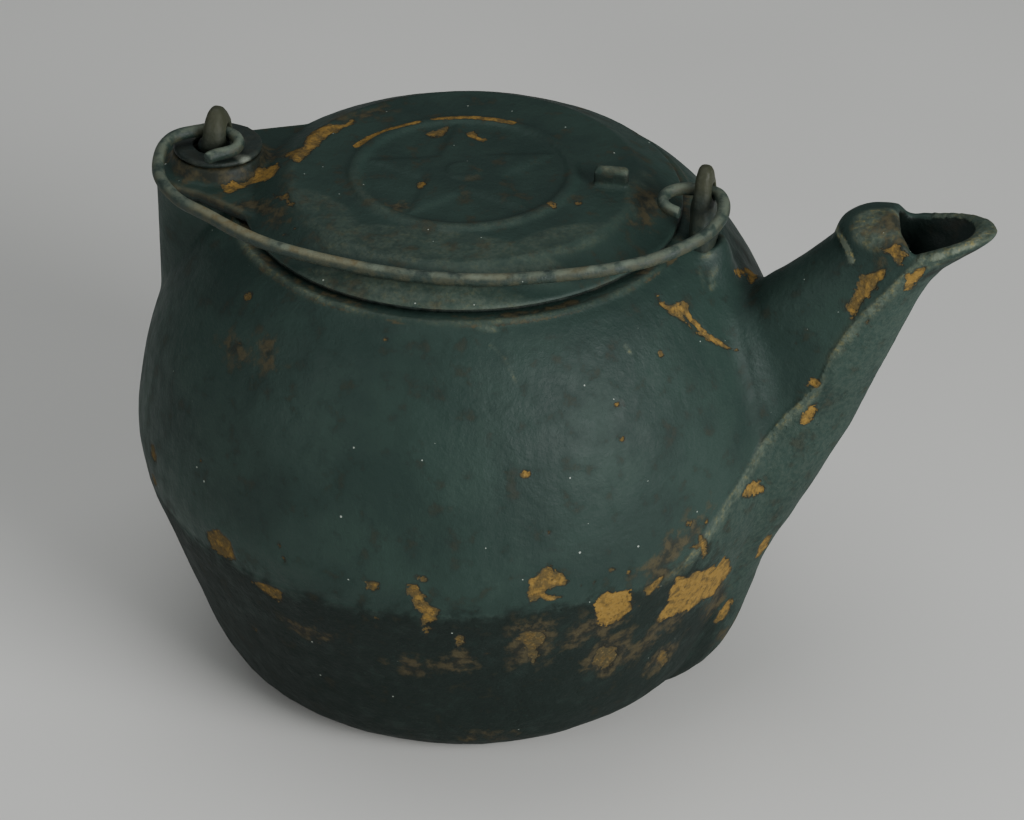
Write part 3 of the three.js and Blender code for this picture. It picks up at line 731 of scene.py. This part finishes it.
def painted_iron(name, dust, relief, yellow):
    """Old stove paint over a rough casting, chipped down to rust, its pale places partly yellow: rubbed
    paint and painted light; soot with painted shade below, and a painted shadow round each chip.
    """
    nodes = Nodes(name)
    wide = nodes.noise(30, 4, 0.55)
    middle = nodes.noise(8, 5, 0.6)
    fine = nodes.noise(1.7, 4, 0.6)
    grain = nodes.noise(0.6, 2, 0.5)
    lower = nodes.layer("lower")
    soot = nodes.layer("soot")

    paint = nodes.mix(nodes.span(wide, 0.36, 0.66, 0.1, 0.6), PAINT, PAINT_PALE)
    paint = nodes.mix(nodes.span(middle, 0.5, 0.72, 0, 0.4), paint, PAINT_DARK)
    # Darkened below the parting line: partly soot, partly painted shade of the faces turned to the floor
    sooted = nodes.span(nodes.math("ADD", soot, nodes.span(middle, 0.3, 0.7, -0.34, 0.34)), 0.12, 0.9)
    sandy = nodes.times(lower, nodes.math("SUBTRACT", 1.0, soot))
    sandy = nodes.times(sandy, nodes.span(fine, 0.35, 0.65, 0.0, 0.14))
    paint = nodes.mix(sandy, paint, WORN_AND_LIT_PAINT)
    paint = nodes.mix(nodes.times(sooted, 0.82), paint, SOOT_AND_SHADE)
    paint = nodes.mix(nodes.span(fine, 0.6, 0.8, 0, 0.35), paint, PAINT_PALE)
    bright = nodes.mix(nodes.span(nodes.noise(2.4, 4, 0.7), 0.48, 0.68, 0, yellow), WORN_AND_LIT_PAINT, YELLOWISH)
    # The pale layer: rubbed paint, and painted light on the lid's near flange and rings and in a band below
    # the parting line
    rubbed_and_lit = nodes.times(nodes.layer("pale"), nodes.span(fine, 0.32, 0.62, 0.45, 1))
    rubbed_and_lit = nodes.times(rubbed_and_lit, nodes.span(nodes.noise(9, 4, 0.6), 0.36, 0.58, 0.35, 1))
    paint = nodes.mix(rubbed_and_lit, paint, bright)

    stain = nodes.span(nodes.math("ADD", nodes.layer("stain"), nodes.span(middle, 0.3, 0.7, -4, 4)), -3, 4)
    brown = nodes.mix(nodes.span(nodes.noise(4, 4, 0.6), 0.4, 0.62), DARK_BROWN, BROWN)
    paint = nodes.mix(nodes.times(stain, 0.8), paint, brown)

    worn = nodes.times(nodes.layer("edge"), nodes.span(middle, 0.34, 0.6))
    paint = nodes.mix(nodes.times(worn, 0.5), paint, bright)
    brown_edge = nodes.times(nodes.layer("edge"), nodes.span(wide, 0.46, 0.6, 0, 0.7))
    paint = nodes.mix(brown_edge, paint, BROWN)
    paint = dusted(nodes, paint, dust)
    hollow = nodes.mix(nodes.span(middle, 0.5, 0.66, 0, 0.7), HOLLOW, DARK_BROWN)
    paint = nodes.mix(nodes.times(nodes.layer("inside"), 0.85), paint, hollow)

    tone = nodes.layer("tone")
    depth = nodes.math("ADD", nodes.layer("chip"), flake_edge(nodes))
    depth = nodes.math("ADD", depth, nodes.span(tone, 0.2, 0.9, -1.45, 0))
    chip = nodes.span(depth, -0.12, 0.12)
    # A dark brown ring just outside each chip: painted shadow under the paint's broken edge
    rim = nodes.span(depth, -0.9, -0.1)
    paint = nodes.mix(nodes.times(rim, 0.6), paint, DARK_BROWN)
    shown = nodes.mix(chip, paint, rust_colour(nodes, tone, depth))

    rough = nodes.span(middle, 0.3, 0.7, 0.5, 0.64)
    rough = nodes.math("ADD", rough, nodes.times(lower, 0.14))
    roughness = nodes.math("ADD", rough, nodes.times(chip, 0.35), clamp=True)

    hills = nodes.times(nodes.noise(4.5, 4, 0.6), nodes.span(lower, 0, 1, 0.5, 1))
    coarse = nodes.bump(hills, 0.85 * relief)
    normal = nodes.bump(fine, 0.22 * relief, coarse)
    sand = nodes.times(grain, nodes.span(lower, 0, 1, 0.5, 1))
    normal = nodes.bump(sand, 0.1 * relief, normal)
    pits = nodes.span(nodes.cells(3.4), 0.26, 0.08)
    pits = nodes.times(pits, nodes.span(nodes.noise(12, 3, 0.5), 0.48, 0.62))
    pits = nodes.times(pits, nodes.span(lower, 0, 1, 0.15, 1))
    normal = nodes.bump(nodes.math("SUBTRACT", 1.0, pits), 0.2, normal)
    normal = nodes.bump(nodes.math("SUBTRACT", 1.0, chip), 0.35, normal)
    nodes.shader.inputs["Specular IOR Level"].default_value = 0.23
    return nodes.finish(shown, roughness, normal)


def worn_iron(name, base, rusty, pale, rust_share):
    """Iron whose paint is mostly gone, with brown rust in its hollows."""
    nodes = Nodes(name)
    middle = nodes.noise(5, 5, 0.6)
    fine = nodes.noise(1.1, 4, 0.6)
    tone = nodes.mix(nodes.span(middle, 0.4, 0.62, 0, rust_share), base, rusty)
    tone = nodes.mix(nodes.span(fine, 0.55, 0.78, 0, 0.45), tone, PAINT_DARK)
    tone = nodes.mix(nodes.times(nodes.layer("stain"), 0.8), tone, rusty)
    # On the bail the edge and pale layers are a painted highlight along its top; on the ears and the washer
    # they are rubbed iron
    rubbed_and_lit = nodes.times(nodes.layer("edge"), nodes.span(middle, 0.32, 0.56))
    tone = nodes.mix(nodes.times(rubbed_and_lit, 0.6), tone, pale)
    tone = nodes.mix(nodes.times(nodes.layer("pale"), 0.75), tone, pale)
    tone = dusted(nodes, tone, 0.06)
    roughness = nodes.span(middle, 0.3, 0.7, 0.5, 0.68)
    nodes.shader.inputs["Specular IOR Level"].default_value = 0.36
    normal = nodes.bump(fine, 0.2, nodes.bump(nodes.noise(2.6, 4, 0.6), 0.35))
    return nodes.finish(tone, roughness, normal)


# Height of the rim round the spout's mouth, at places along X
RIM_PLACES = [168, 173, 178, 185, 191, 197]
RIM_HEIGHTS = [195.5, 196.3, 197.8, 199.4, 200.5, 200.5]
# The middle of the spout along X, and half the width of its hollow, at heights
SPOUT_HEIGHTS = [60, 85, 140, 196]
SPOUT_MIDDLES = [85, 98, 134, 167]
HOLLOW_HEIGHTS = [140, 152, 180, 192]
HOLLOW_HALVES = [17, 11, 11, 16]
# How far in from the outer wall, and how high in the bottom, points begin to count as inside
WALL_DEPTH = 1.4 * MM
BOTTOM_DEPTH = 2 * MM
# A height just above the ledge's underside, and a radius just inside the filling mouth's edge
LEDGE_LOW = LEDGE_TOP - 4 * MM
MOUTH_INSIDE = LID_RADIUS - 12 * MM


def parting_height(x):
    """Height of the line where the two halves of the mould met, which rises under the spout."""
    places = [-140, 88, 100, 104.5, 110, 114.7, 118, 125, 132, 138, 141, 146.4, 152, 158.6, 166, 180]
    heights = [84, 85, 89, 96, 104, 110, 116, 126, 134, 142, 152, 162.5, 171, 179, 189, 206]
    return np.interp(x / MM, places, heights) * MM


def spout_back(height):
    """How far out the back of the spout lies at a height, behind which is the bowl."""
    heights = [98, 126, 140, 153, 164, 171.5, 179, 185.6, 190.6, 195.5, 199, 201.7]
    places = [70, 80, 88, 98, 107, 117, 125, 132, 136.8, 140.6, 144.5, 149.4]
    return np.interp(height / MM, heights, places) * MM


def inner_side(points, normals):
    """1 inside the bowl and the spout, 0 outside."""
    x, y, z = points.T
    radius = away_from(points)
    outward = (points[:, :2] * normals[:, :2]).sum(1) / np.maximum(radius, MM)
    sides = (np.abs(y) > np.abs(x) * 1.5) & (outward > 0.15)
    levels = np.linspace(3 * MM, LEDGE_LOW, 90)
    reach = np.array([radius[sides & (np.abs(z - level) < MM)].min() for level in levels])
    shell = np.interp(z, levels, reach)
    within = (radius < shell - WALL_DEPTH) & (z > BOTTOM_DEPTH) & (z < LEDGE_TOP - 1.5 * MM)
    within &= (radius < MOUTH_INSIDE) | (z < LEDGE_LOW)
    within &= outward < 0.35
    axis = np.interp(z / MM, SPOUT_HEIGHTS, SPOUT_MIDDLES) * MM
    away = np.stack([x - axis, y], 1)
    facing = (away * normals[:, :2]).sum(1) < 0
    spout = (x > spout_back(z) + 4 * MM) & facing & (z > 60 * MM)
    hollow = np.interp(z / MM, HOLLOW_HEIGHTS, HOLLOW_HALVES) * MM
    spout &= (radius > shell - WALL_DEPTH) & (np.abs(y) < hollow)
    rim = np.interp(x / MM, RIM_PLACES, RIM_HEIGHTS) * MM
    lip = (normals[:, 2] > 0.4) & (z > rim - 1.2 * MM)
    return (within | spout & ~lip).astype(float)


# Distances from the front ear, heights and radii between which its swelling begins and ends
SWELLING_START = (7.6 * MM, 9.4 * MM)
SWELLING_END = (21 * MM, 16 * MM)
SWELLING_FOOT = (154 * MM, 162 * MM)
BEYOND_LID = (LID_RADIUS + 2.2 * MM, LID_RADIUS + 4 * MM)


def front_swelling(points):
    """1 on the swelling under the front ear, 0 on its socket, the ledge and beyond."""
    away = away_from(points, EAR_X)
    radius = away_from(points)
    ring = step(away, *SWELLING_START) * step(away, *SWELLING_END)
    high = step(points[:, 2], *SWELLING_FOOT)
    return ring * high * step(radius, *BEYOND_LID)


# The low lip round the ledge, outside the lid: its radius, its width, its height in millimetres,
# and the angles from the spout between which it begins and ends
LIP_RADIUS = LID_RADIUS + 3.2 * MM
LIP_WIDTH = 1.3 * MM
LIP_HEIGHT = 0.7
LIP_START = (12, 20)
LIP_END = (172, 164)


def ledge_lip(points):
    """1 on the low lip where the ledge ends, 0 off it."""
    radius = away_from(points)
    turn = np.degrees(np.arctan2(points[:, 1], points[:, 0]))
    high = step(points[:, 2], LEDGE_TOP - 7 * MM, LEDGE_LOW)
    free = step(np.abs(turn), *LIP_START) * step(np.abs(turn), *LIP_END)
    return band(radius, LIP_RADIUS, LIP_WIDTH) * high * free


# The hood's swollen back, in millimetres: the place of the scratch before it and how much that
# curves, how far it stands out, and the distances and heights where it begins and ends
HOOD_LINE = 138.5
HOOD_CURVE = 0.045
HOOD_DEPTH = 2.5
HOOD_START = (-2, 4)
HOOD_END = (16, 4)
HOOD_SIDE = (16, 9)
HOOD_FOOT = (184, 193)


def hood_cap(points):
    """How many millimetres the hood's back stands out from the scratch that crosses it."""
    x, y, z = (points / MM).T
    forward = x - HOOD_LINE - HOOD_CURVE * y * y
    cap = step(forward, *HOOD_START) * step(forward, *HOOD_END) * step(np.abs(y), *HOOD_SIDE)
    return HOOD_DEPTH * cap * step(z, *HOOD_FOOT)


# Where the turn from the bowl to the spout begins and ends: along X, off the keel and above the foot
TURN_START = (60 * MM, 76 * MM)
TURN_END = (140 * MM, 128 * MM)
TURN_SIDE = (4 * MM, 9 * MM)
TURN_FOOT = (8 * MM, 20 * MM)
# The crease there, in millimetres: its places at heights, how deep and wide its fillet is, and the
# heights between which the fillet begins and ends
CREASE_HEIGHTS = [120, 132, 139, 150, 156, 166]
CREASE_PLACES = [118, 116, 115, 112, 109, 104]
CREASE_SIDES = [24, 23, 22, 19, 15, 13]
FILLET_DEPTH = 2.8
FILLET_WIDTH = 7
FILLET_FOOT = (116, 134)
FILLET_TOP = (170, 156)


def beside_spout(points):
    """1 where the bowl turns into the spout, 0 on the rest."""
    x, y, z = points.T
    along = step(x, *TURN_START) * step(x, *TURN_END)
    across = step(np.abs(y), *TURN_SIDE)
    return along * across * step(z, *TURN_FOOT)


def spout_fillet(points):
    """How many millimetres the casting is thicker in the crease where the bowl meets the spout."""
    x, y, z = (points / MM).T
    crease_x = np.interp(z, CREASE_HEIGHTS, CREASE_PLACES)
    crease_y = np.interp(z, CREASE_HEIGHTS, CREASE_SIDES)
    away = np.hypot(x - crease_x, np.abs(y) - crease_y)
    return FILLET_DEPTH * band(away, 0, FILLET_WIDTH) * step(z, *FILLET_FOOT) * step(z, *FILLET_TOP)


def shape_body(obj):
    """Smooths the solid's facets, then gives the casting its fillets."""
    points, normals, edges = surface_of(obj)
    soften(obj, 14, 1 - outward_edges(points, normals, edges, BODY_VOXEL, 2))
    points, normals = points_of(obj), normals_of(obj)
    points = fill_creases(points, normals, edges, BODY_VOXEL, 14, 380, beside_spout(points))
    below_ledge = step(points[:, 2], LEDGE_TOP - 0.5 * MM, LEDGE_TOP - 3 * MM)
    points = fill_creases(points, normals, edges, BODY_VOXEL, 5, 60, below_ledge)
    move_points(obj, points)
    soften(obj, 60, front_swelling(points))
    points = points_of(obj)
    soften(obj, 10, step(points[:, 0], 158 * MM, 162 * MM) * step(points[:, 2], 190 * MM, 193 * MM))


def body_finish_layers(points, normals, gap, outside):
    """Where the iron under the paint is brown, with a painted shadow of the lid on the ledge, and where the
    paint is pale: rubbed, and painted light in a band below the parting line.
    """
    spots = scattered_spots(12, 5, 20, 90, (10, 210))
    stains = [(*spot, 0) for spot in BODY_STAINS + [spot[:6] for spot in spots]]
    stain = chip_layers(points, normals, [], stains)[0]
    x, y, z = points.T
    radius = away_from(points)
    lip = ledge_lip(points)
    # A brown ring on the ledge just round the lid: partly rust, partly painted shadow of the lid's edge
    ledge = step(radius, LID_RADIUS - 2 * MM, LID_RADIUS) * (radius < LID_RADIUS + 5 * MM)
    ledge *= step(z, LEDGE_TOP - 4.4 * MM, LEDGE_TOP - 3 * MM)
    ledge *= step(lumps(points, 26 * MM, 61), -0.9, -0.3) * (1 - lip)
    stain = np.maximum(stain, ledge * 9 - 5)

    pale = pale_layer(points, normals, BODY_PALE, BODY_SCRATCHES)
    near_side = step(y, -20 * MM, -45 * MM) * step(lumps(points, 17 * MM, 63), -0.5, 0.2)
    pale = np.maximum(pale, lip * near_side * (0.35 + 0.35 * step(x, -10 * MM, -40 * MM)))
    rim = step(normals[:, 2], 0.35, 0.75) * step(x, 172 * MM, 180 * MM)
    pale = np.maximum(pale, rim * (0.3 + 0.35 * step(y, 4 * MM, -8 * MM)))
    # A pale band just below the parting line beside the spout: painted light where the lamp from the right
    # lights that face
    painted_light_band = step(gap, 0.4 * MM, -0.6 * MM) * step(gap, -9 * MM, -3 * MM)
    painted_light_band *= step(x, 84 * MM, 104 * MM) * step(lumps(points, 12 * MM, 67), -0.9, 0.1)
    pale = np.maximum(pale, painted_light_band * 0.5)
    return stain, pale * outside


# Places along X where the spout's rougher casting begins, and beyond which it is uneven above the
# ledge's height too, heights between which the unevenness fades in over the foot, heights about
# the parting line between which the soot and painted shade fade in, and the line's width
ON_SPOUT = (94 * MM, 114 * MM)
OFF_LEDGE = (120 * MM, 140 * MM)
OFF_FOOT = (1 * MM, 6 * MM)
SOOT_AND_SHADE_FADE = (9 * MM, -8 * MM)
SEAM_WIDTH = 1.0 * MM
# Depths of the chips in the body and in the lid, in millimetres
BODY_CHIP_DEPTH = 0.25
LID_CHIP_DEPTH = 0.15


def body_piece():
    """The bowl with its spout, ledge and keel."""
    obj = fine_copy("kettle_body", "body_casting", BODY_VOXEL, turned=True)
    shape_body(obj)
    points, normals, edges = surface_of(obj)
    inside = inner_side(points, normals)
    outside = 1 - inside
    gap = points[:, 2] - parting_height(points[:, 0])
    lower = step(gap, 1.0 * MM, -1.0 * MM) * outside
    on_spout = step(points[:, 0], *ON_SPOUT)
    free = step(points[:, 2], *OFF_FOOT) * step(points[:, 2], LEDGE_TOP, LEDGE_LOW)
    free = np.maximum(free, step(points[:, 0], *OFF_LEDGE))
    seam = band(gap, 0, SEAM_WIDTH)
    lift = (0.2 + 0.25 * on_spout) * lower + (0.14 + 0.1 * on_spout) * seam
    lift += lumps(points, 30 * MM, 3) * 0.16 + lumps(points, 11 * MM, 5) * (0.05 + 0.16 * lower)
    lift += lumps(points, 4.5 * MM, 9) * (0.02 + 0.1 * lower)

    photo = Photo("kettle_body")
    spots = photo.spots(BODY_SPOT_PIXELS) + BODY_SPOTS + scattered_spots(46, 11, 24, 104, (20, 215))
    chip, tone = chip_layers(points, normals, photo.outlines(BODY_CHIP_PIXELS), spots)
    chip, tone = with_streaks(points, chip, tone, BODY_STREAKS)
    stain, pale = body_finish_layers(points, normals, gap, outside)
    lift -= step(chip, 0.0, 1.0) * BODY_CHIP_DEPTH
    rise = (lift * free + LIP_HEIGHT * ledge_lip(points) + hood_cap(points) + spout_fillet(points)) * outside
    points = points + normals * (rise * MM)[:, None]
    points[:, 2] = np.maximum(points[:, 2], 0)
    move_points(obj, points)

    # Darkening below the parting line: on the bowl partly soot and partly painted shade, on the spout only
    # on faces turned down, which is painted shade
    downward_shade = step(normals[:, 2], -0.3, -0.75) * 0.7
    soot = step(gap, *SOOT_AND_SHADE_FADE) * outside * np.maximum(1 - on_spout, downward_shade)
    chip = np.where(inside > 0, NO_CHIP, chip)
    stain = np.where(inside > 0, NO_CHIP, stain)
    edge = outward_edges(points, normals_of(obj), edges, BODY_VOXEL, 0) * outside
    store(obj, lower=lower, soot=soot, chip=chip, tone=tone, stain=stain, pale=pale, edge=edge,
          inside=inside)
    paint = painted_iron("paint_body", 0.18, 1.0, 0.9)
    return dress(obj, "kettle", "kettle_body", paint)


# Radii on the lid where the relief, the hub and the star end, distances from the middle of the tab
# within which it is rounded, and how far the near edge is lifted off the ledge
RELIEF_END = (46 * MM, 44 * MM)
HUB_END = (7.5 * MM, 9 * MM)
STAR_END = (37.5 * MM, 36 * MM)
TAB_END = (10 * MM, 8.6 * MM)
LID_GAP = 1.1 * MM


def shape_lid(obj):
    """Smooths the solid's facets, softens its low relief and rounds off the finger tab."""
    points, normals, edges = surface_of(obj)
    soften(obj, 6, 1 - outward_edges(points, normals, edges, LID_VOXEL, 2))
    points = points_of(obj)
    top = step(normals_of(obj)[:, 2], -0.2, 0.2)
    radius = away_from(points)
    from_tab = away_from(points, TAB_X, TAB_Y)
    relief = step(radius, *RELIEF_END) * step(radius, *HUB_END)
    star = step(radius, *STAR_END)
    soften(obj, 22, relief * (0.45 + 0.55 * star) * top)
    soften(obj, 10, step(from_tab, *TAB_END) * top)
    points = points_of(obj)
    by_lug = step(points[:, 0], -60 * MM, -70 * MM) * top
    by_tab = step(from_tab, 12 * MM, 10 * MM) * top * 0.5
    by_both = np.maximum(by_lug, by_tab)
    points = fill_creases(points, normals_of(obj), edges, LID_VOXEL, 4, 50, by_both)
    radius = away_from(points)
    near_rim = step(radius, LID_RADIUS - 7 * MM, LID_RADIUS - 3 * MM)
    near_rim *= step(points[:, 1], -6 * MM, -44 * MM)
    under = step(points[:, 2], LEDGE_TOP + 2.5 * MM, LEDGE_TOP + 1.0 * MM)
    points[:, 2] += near_rim * under * LID_GAP
    move_points(obj, points)
    return top


def lid_piece():
    """The lid with its ring, star, hub, tab and lug."""
    obj = fine_copy("lid", "lid_casting", LID_VOXEL, turned=True)
    top = shape_lid(obj)
    points, normals, edges = surface_of(obj)
    radius = away_from(points)
    lift = lumps(points, 22 * MM, 21) * 0.12 + lumps(points, 7 * MM, 23) * 0.06
    lift += 0.12 * band(radius, LID_STEP_RADIUS, 2 * MM)
    photo = Photo("lid")
    spots = photo.spots(LID_SPOT_PIXELS) + LID_SPOTS
    chip, tone = chip_layers(points, normals, photo.outlines(LID_CHIP_PIXELS), spots)
    chip, tone = with_streaks(points, chip, tone, LID_STREAKS)
    stain = chip_layers(points, normals, [], [(*spot, 0) for spot in LID_STAINS])[0]
    lug_edge = step(points[:, 0], -78 * MM, -84 * MM) * step(points[:, 2], 190.6 * MM, 189.6 * MM)
    stain = np.maximum(stain, lug_edge * step(points[:, 1], 0, -8 * MM) * 9 - 6)
    from_post = away_from(points, POST_X)
    by_post = step(from_post, 21 * MM, 17 * MM) * step(points[:, 2], 189 * MM, 190.4 * MM)
    stain = np.maximum(stain, by_post * 9 - 4)
    lift -= step(chip, 0.0, 0.8) * LID_CHIP_DEPTH
    points = points + normals * (lift * top * MM)[:, None]
    move_points(obj, points)
    edge = outward_edges(points, normals_of(obj), edges, LID_VOXEL, 1)
    # Pale on the near side of the raised ring and the outer step: partly rubbed paint, partly painted
    # highlight where their near side catches the light
    rings = band(radius, RING_RADIUS, 2.4 * MM)
    rings = np.maximum(rings, band(radius, LID_STEP_RADIUS, 2.6 * MM))
    near = step(points[:, 1], 10 * MM, -30 * MM)
    chip = np.where(top > 0.5, chip, NO_CHIP)
    stain = np.where(top > 0.5, stain, NO_CHIP)
    pale = np.maximum(pale_layer(points, normals, LID_PALE_AND_LIT, []), rings * near * 0.2)
    # The lid's faces turned down get the dark soot colour as painted shade
    store(obj, lower=1 - top, soot=1 - top, chip=chip, tone=tone, stain=stain, pale=pale * top,
          edge=edge * top, inside=1 - top)
    return dress(obj, "lid", "lid", painted_iron("paint_lid", 0.2, 0.8, 0.35))


# How far the front ear's foot is cleared
EAR_CLEARANCE = 2.6 * MM


def small_piece(node, name, body, material, rough):
    """One of the ears or the washer, with the uneven surface of old forged iron."""
    obj = fine_copy(node, name, SMALL_VOXEL)
    points, normals, edges = surface_of(obj)
    points = relax(points, edges, 6)
    if node == "front_ear":
        away = away_from(points, EAR_X)
        foot = step(points[:, 2], EAR_FOOT + 1.6 * MM, EAR_FOOT + 0.4 * MM) * step(away, 4 * MM, 5.5 * MM)
        points[:, 2] -= foot * EAR_CLEARANCE
    lift = lumps(points, 5 * MM, 31) * rough + lumps(points, 2 * MM, 33) * rough / 2
    points = points + normals * (lift * MM)[:, None]
    move_points(obj, points)
    edge = outward_edges(points, normals_of(obj), edges, SMALL_VOXEL, 2)
    if node != "pivot_washer":
        edge *= step(points[:, 2], POST_HIGH.z - 17 * MM, POST_HIGH.z - 9 * MM)
    stain = step(points[:, 2], POST_HIGH.z - 14 * MM, POST_HIGH.z - 4 * MM)
    pale = pale_layer(points, normals, WASHER_PALE, []) if node == "pivot_washer" else 0 * edge
    store(obj, edge=edge, stain=stain, pale=pale)
    return dress(obj, body, node, material)


def bail_piece():
    """The wire, round from the solid's many-sided tube."""
    obj = copy_of("bail", "bail_wire")
    work = bmesh.new()
    work.from_mesh(obj.data)
    flat, bend = math.radians(40), math.radians(60)
    bmesh.ops.join_triangles(work, faces=work.faces, angle_face_threshold=flat,
                             angle_shape_threshold=bend)
    work.to_mesh(obj.data)
    work.free()
    rounder = obj.modifiers.new("rounder", "SUBSURF")
    rounder.levels = 2
    rounder.render_levels = 2
    apply_modifiers(obj)
    points, normals = points_of(obj), normals_of(obj)
    lift = 0.08 + lumps(points, 9 * MM, 41) * 0.1 + lumps(points, 3 * MM, 43) * 0.06
    points = points + normals * (lift * MM)[:, None]
    move_points(obj, points)
    # The pale along the wire's top side, kept in the edge and pale layers, is a painted highlight; the tan
    # stretches are rubbed wear
    on_top = step(normals[:, 2], 0.3, 0.9)
    worn = np.zeros(len(points))
    for low, high, share in WIRE_WORN:
        along = np.minimum(points[:, 0] - low * MM, high * MM - points[:, 0])
        worn = np.maximum(worn, step(along, -2 * MM, 4 * MM) * share)
    worn = worn * step(points[:, 1], -20 * MM, -40 * MM)
    pale = on_top * step(lumps(points, 5 * MM, 47), 0.2, 0.7) * 0.6
    store(obj, edge=on_top * 0.7, stain=worn * on_top, pale=pale)
    # Colours of the wire's paint, its tan wear and its painted highlight
    base, tan, pale = colour(37, 51, 45), colour(108, 96, 62), colour(104, 116, 102)
    return dress(obj, "bail", "bail", worn_iron("paint_wire", base, tan, pale, 0.2))


def dress(obj, body, node, material):
    obj.data.materials.append(material)
    for face in obj.data.polygons:
        face.use_smooth = True
    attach(obj, body)
    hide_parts(node)
    return obj


def plain_material(name, tone, roughness):
    nodes = Nodes(name)
    drift = nodes.noise(260, 2, 0.5)
    shade = nodes.mix(nodes.span(drift, 0.3, 0.7), tone, tuple(c * 0.94 for c in tone[:3]) + (1.0,))
    return nodes.finish(shade, roughness, nodes.bump(nodes.noise(3, 2, 0.5), 0.02))


def make_studio():
    floor_mesh = bpy.data.meshes.new("studio_floor")
    reach, drop = 9.0, -0.15 * MM
    corners = [(-reach, -reach, drop), (reach, -reach, drop), (reach, reach, drop), (-reach, reach, drop)]
    floor_mesh.from_pydata(corners, [], [(0, 1, 2, 3)])
    floor = link(bpy.data.objects.new("studio_floor", floor_mesh))
    floor_mesh.materials.append(plain_material("studio_pale", colour(226, 226, 222), 0.65))

    world = bpy.data.worlds.new("studio_world")
    bpy.context.scene.world = world
    world.use_nodes = True
    back = world.node_tree.nodes["Background"]
    back.inputs["Color"].default_value = colour(214, 220, 222)
    back.inputs["Strength"].default_value = 0.2

    # Name, place, size and power of each soft light, which looks at the kettle
    lights = [
        ("light_right", (1.62, -1.0, 0.8), (1.2, 1.0), 44),
        ("light_left", (-1.2, -1.4, 0.8), (1.2, 1.0), 8),
        ("light_top", (-0.2, 0.1, 1.7), (1.4, 1.4), 8.5),
    ]
    for name, place, size, power in lights:
        data = bpy.data.lights.new(name, "AREA")
        data.shape = "RECTANGLE"
        data.size, data.size_y = size
        data.energy = power
        lamp = link(bpy.data.objects.new(name, data))
        lamp.location = place
        aim = Vector((0, 0, 0.1)) - Vector(place)
        lamp.rotation_euler = aim.to_track_quat("-Z", "Y").to_euler()


def make_camera():
    back = camera_directions()[2]
    data = bpy.data.cameras.new("camera")
    data.sensor_fit = "HORIZONTAL"
    data.sensor_width = SENSOR_WIDTH
    data.lens = CAMERA_LENS
    camera = link(bpy.data.objects.new("camera", data))
    camera.location = CAMERA_TARGET + back * CAMERA_DISTANCE
    camera.rotation_euler = (-back).to_track_quat("-Z", "Y").to_euler()
    bpy.context.scene.camera = camera


make_camera()
make_studio()
body_piece()
lid_piece()
ear_iron = worn_iron("iron_ears", colour(28, 40, 35), colour(57, 59, 42), colour(122, 122, 90), 0.35)
washer_iron = worn_iron("iron_washer", colour(28, 39, 35), colour(44, 46, 36), colour(120, 126, 114), 0.4)
small_piece("rear_ear", "rear_ear_iron", "kettle", ear_iron, 0.2)
small_piece("front_ear", "front_ear_iron", "kettle", ear_iron, 0.2)
small_piece("pivot_washer", "washer_iron", "washer", washer_iron, 0.14)
bail_piece()
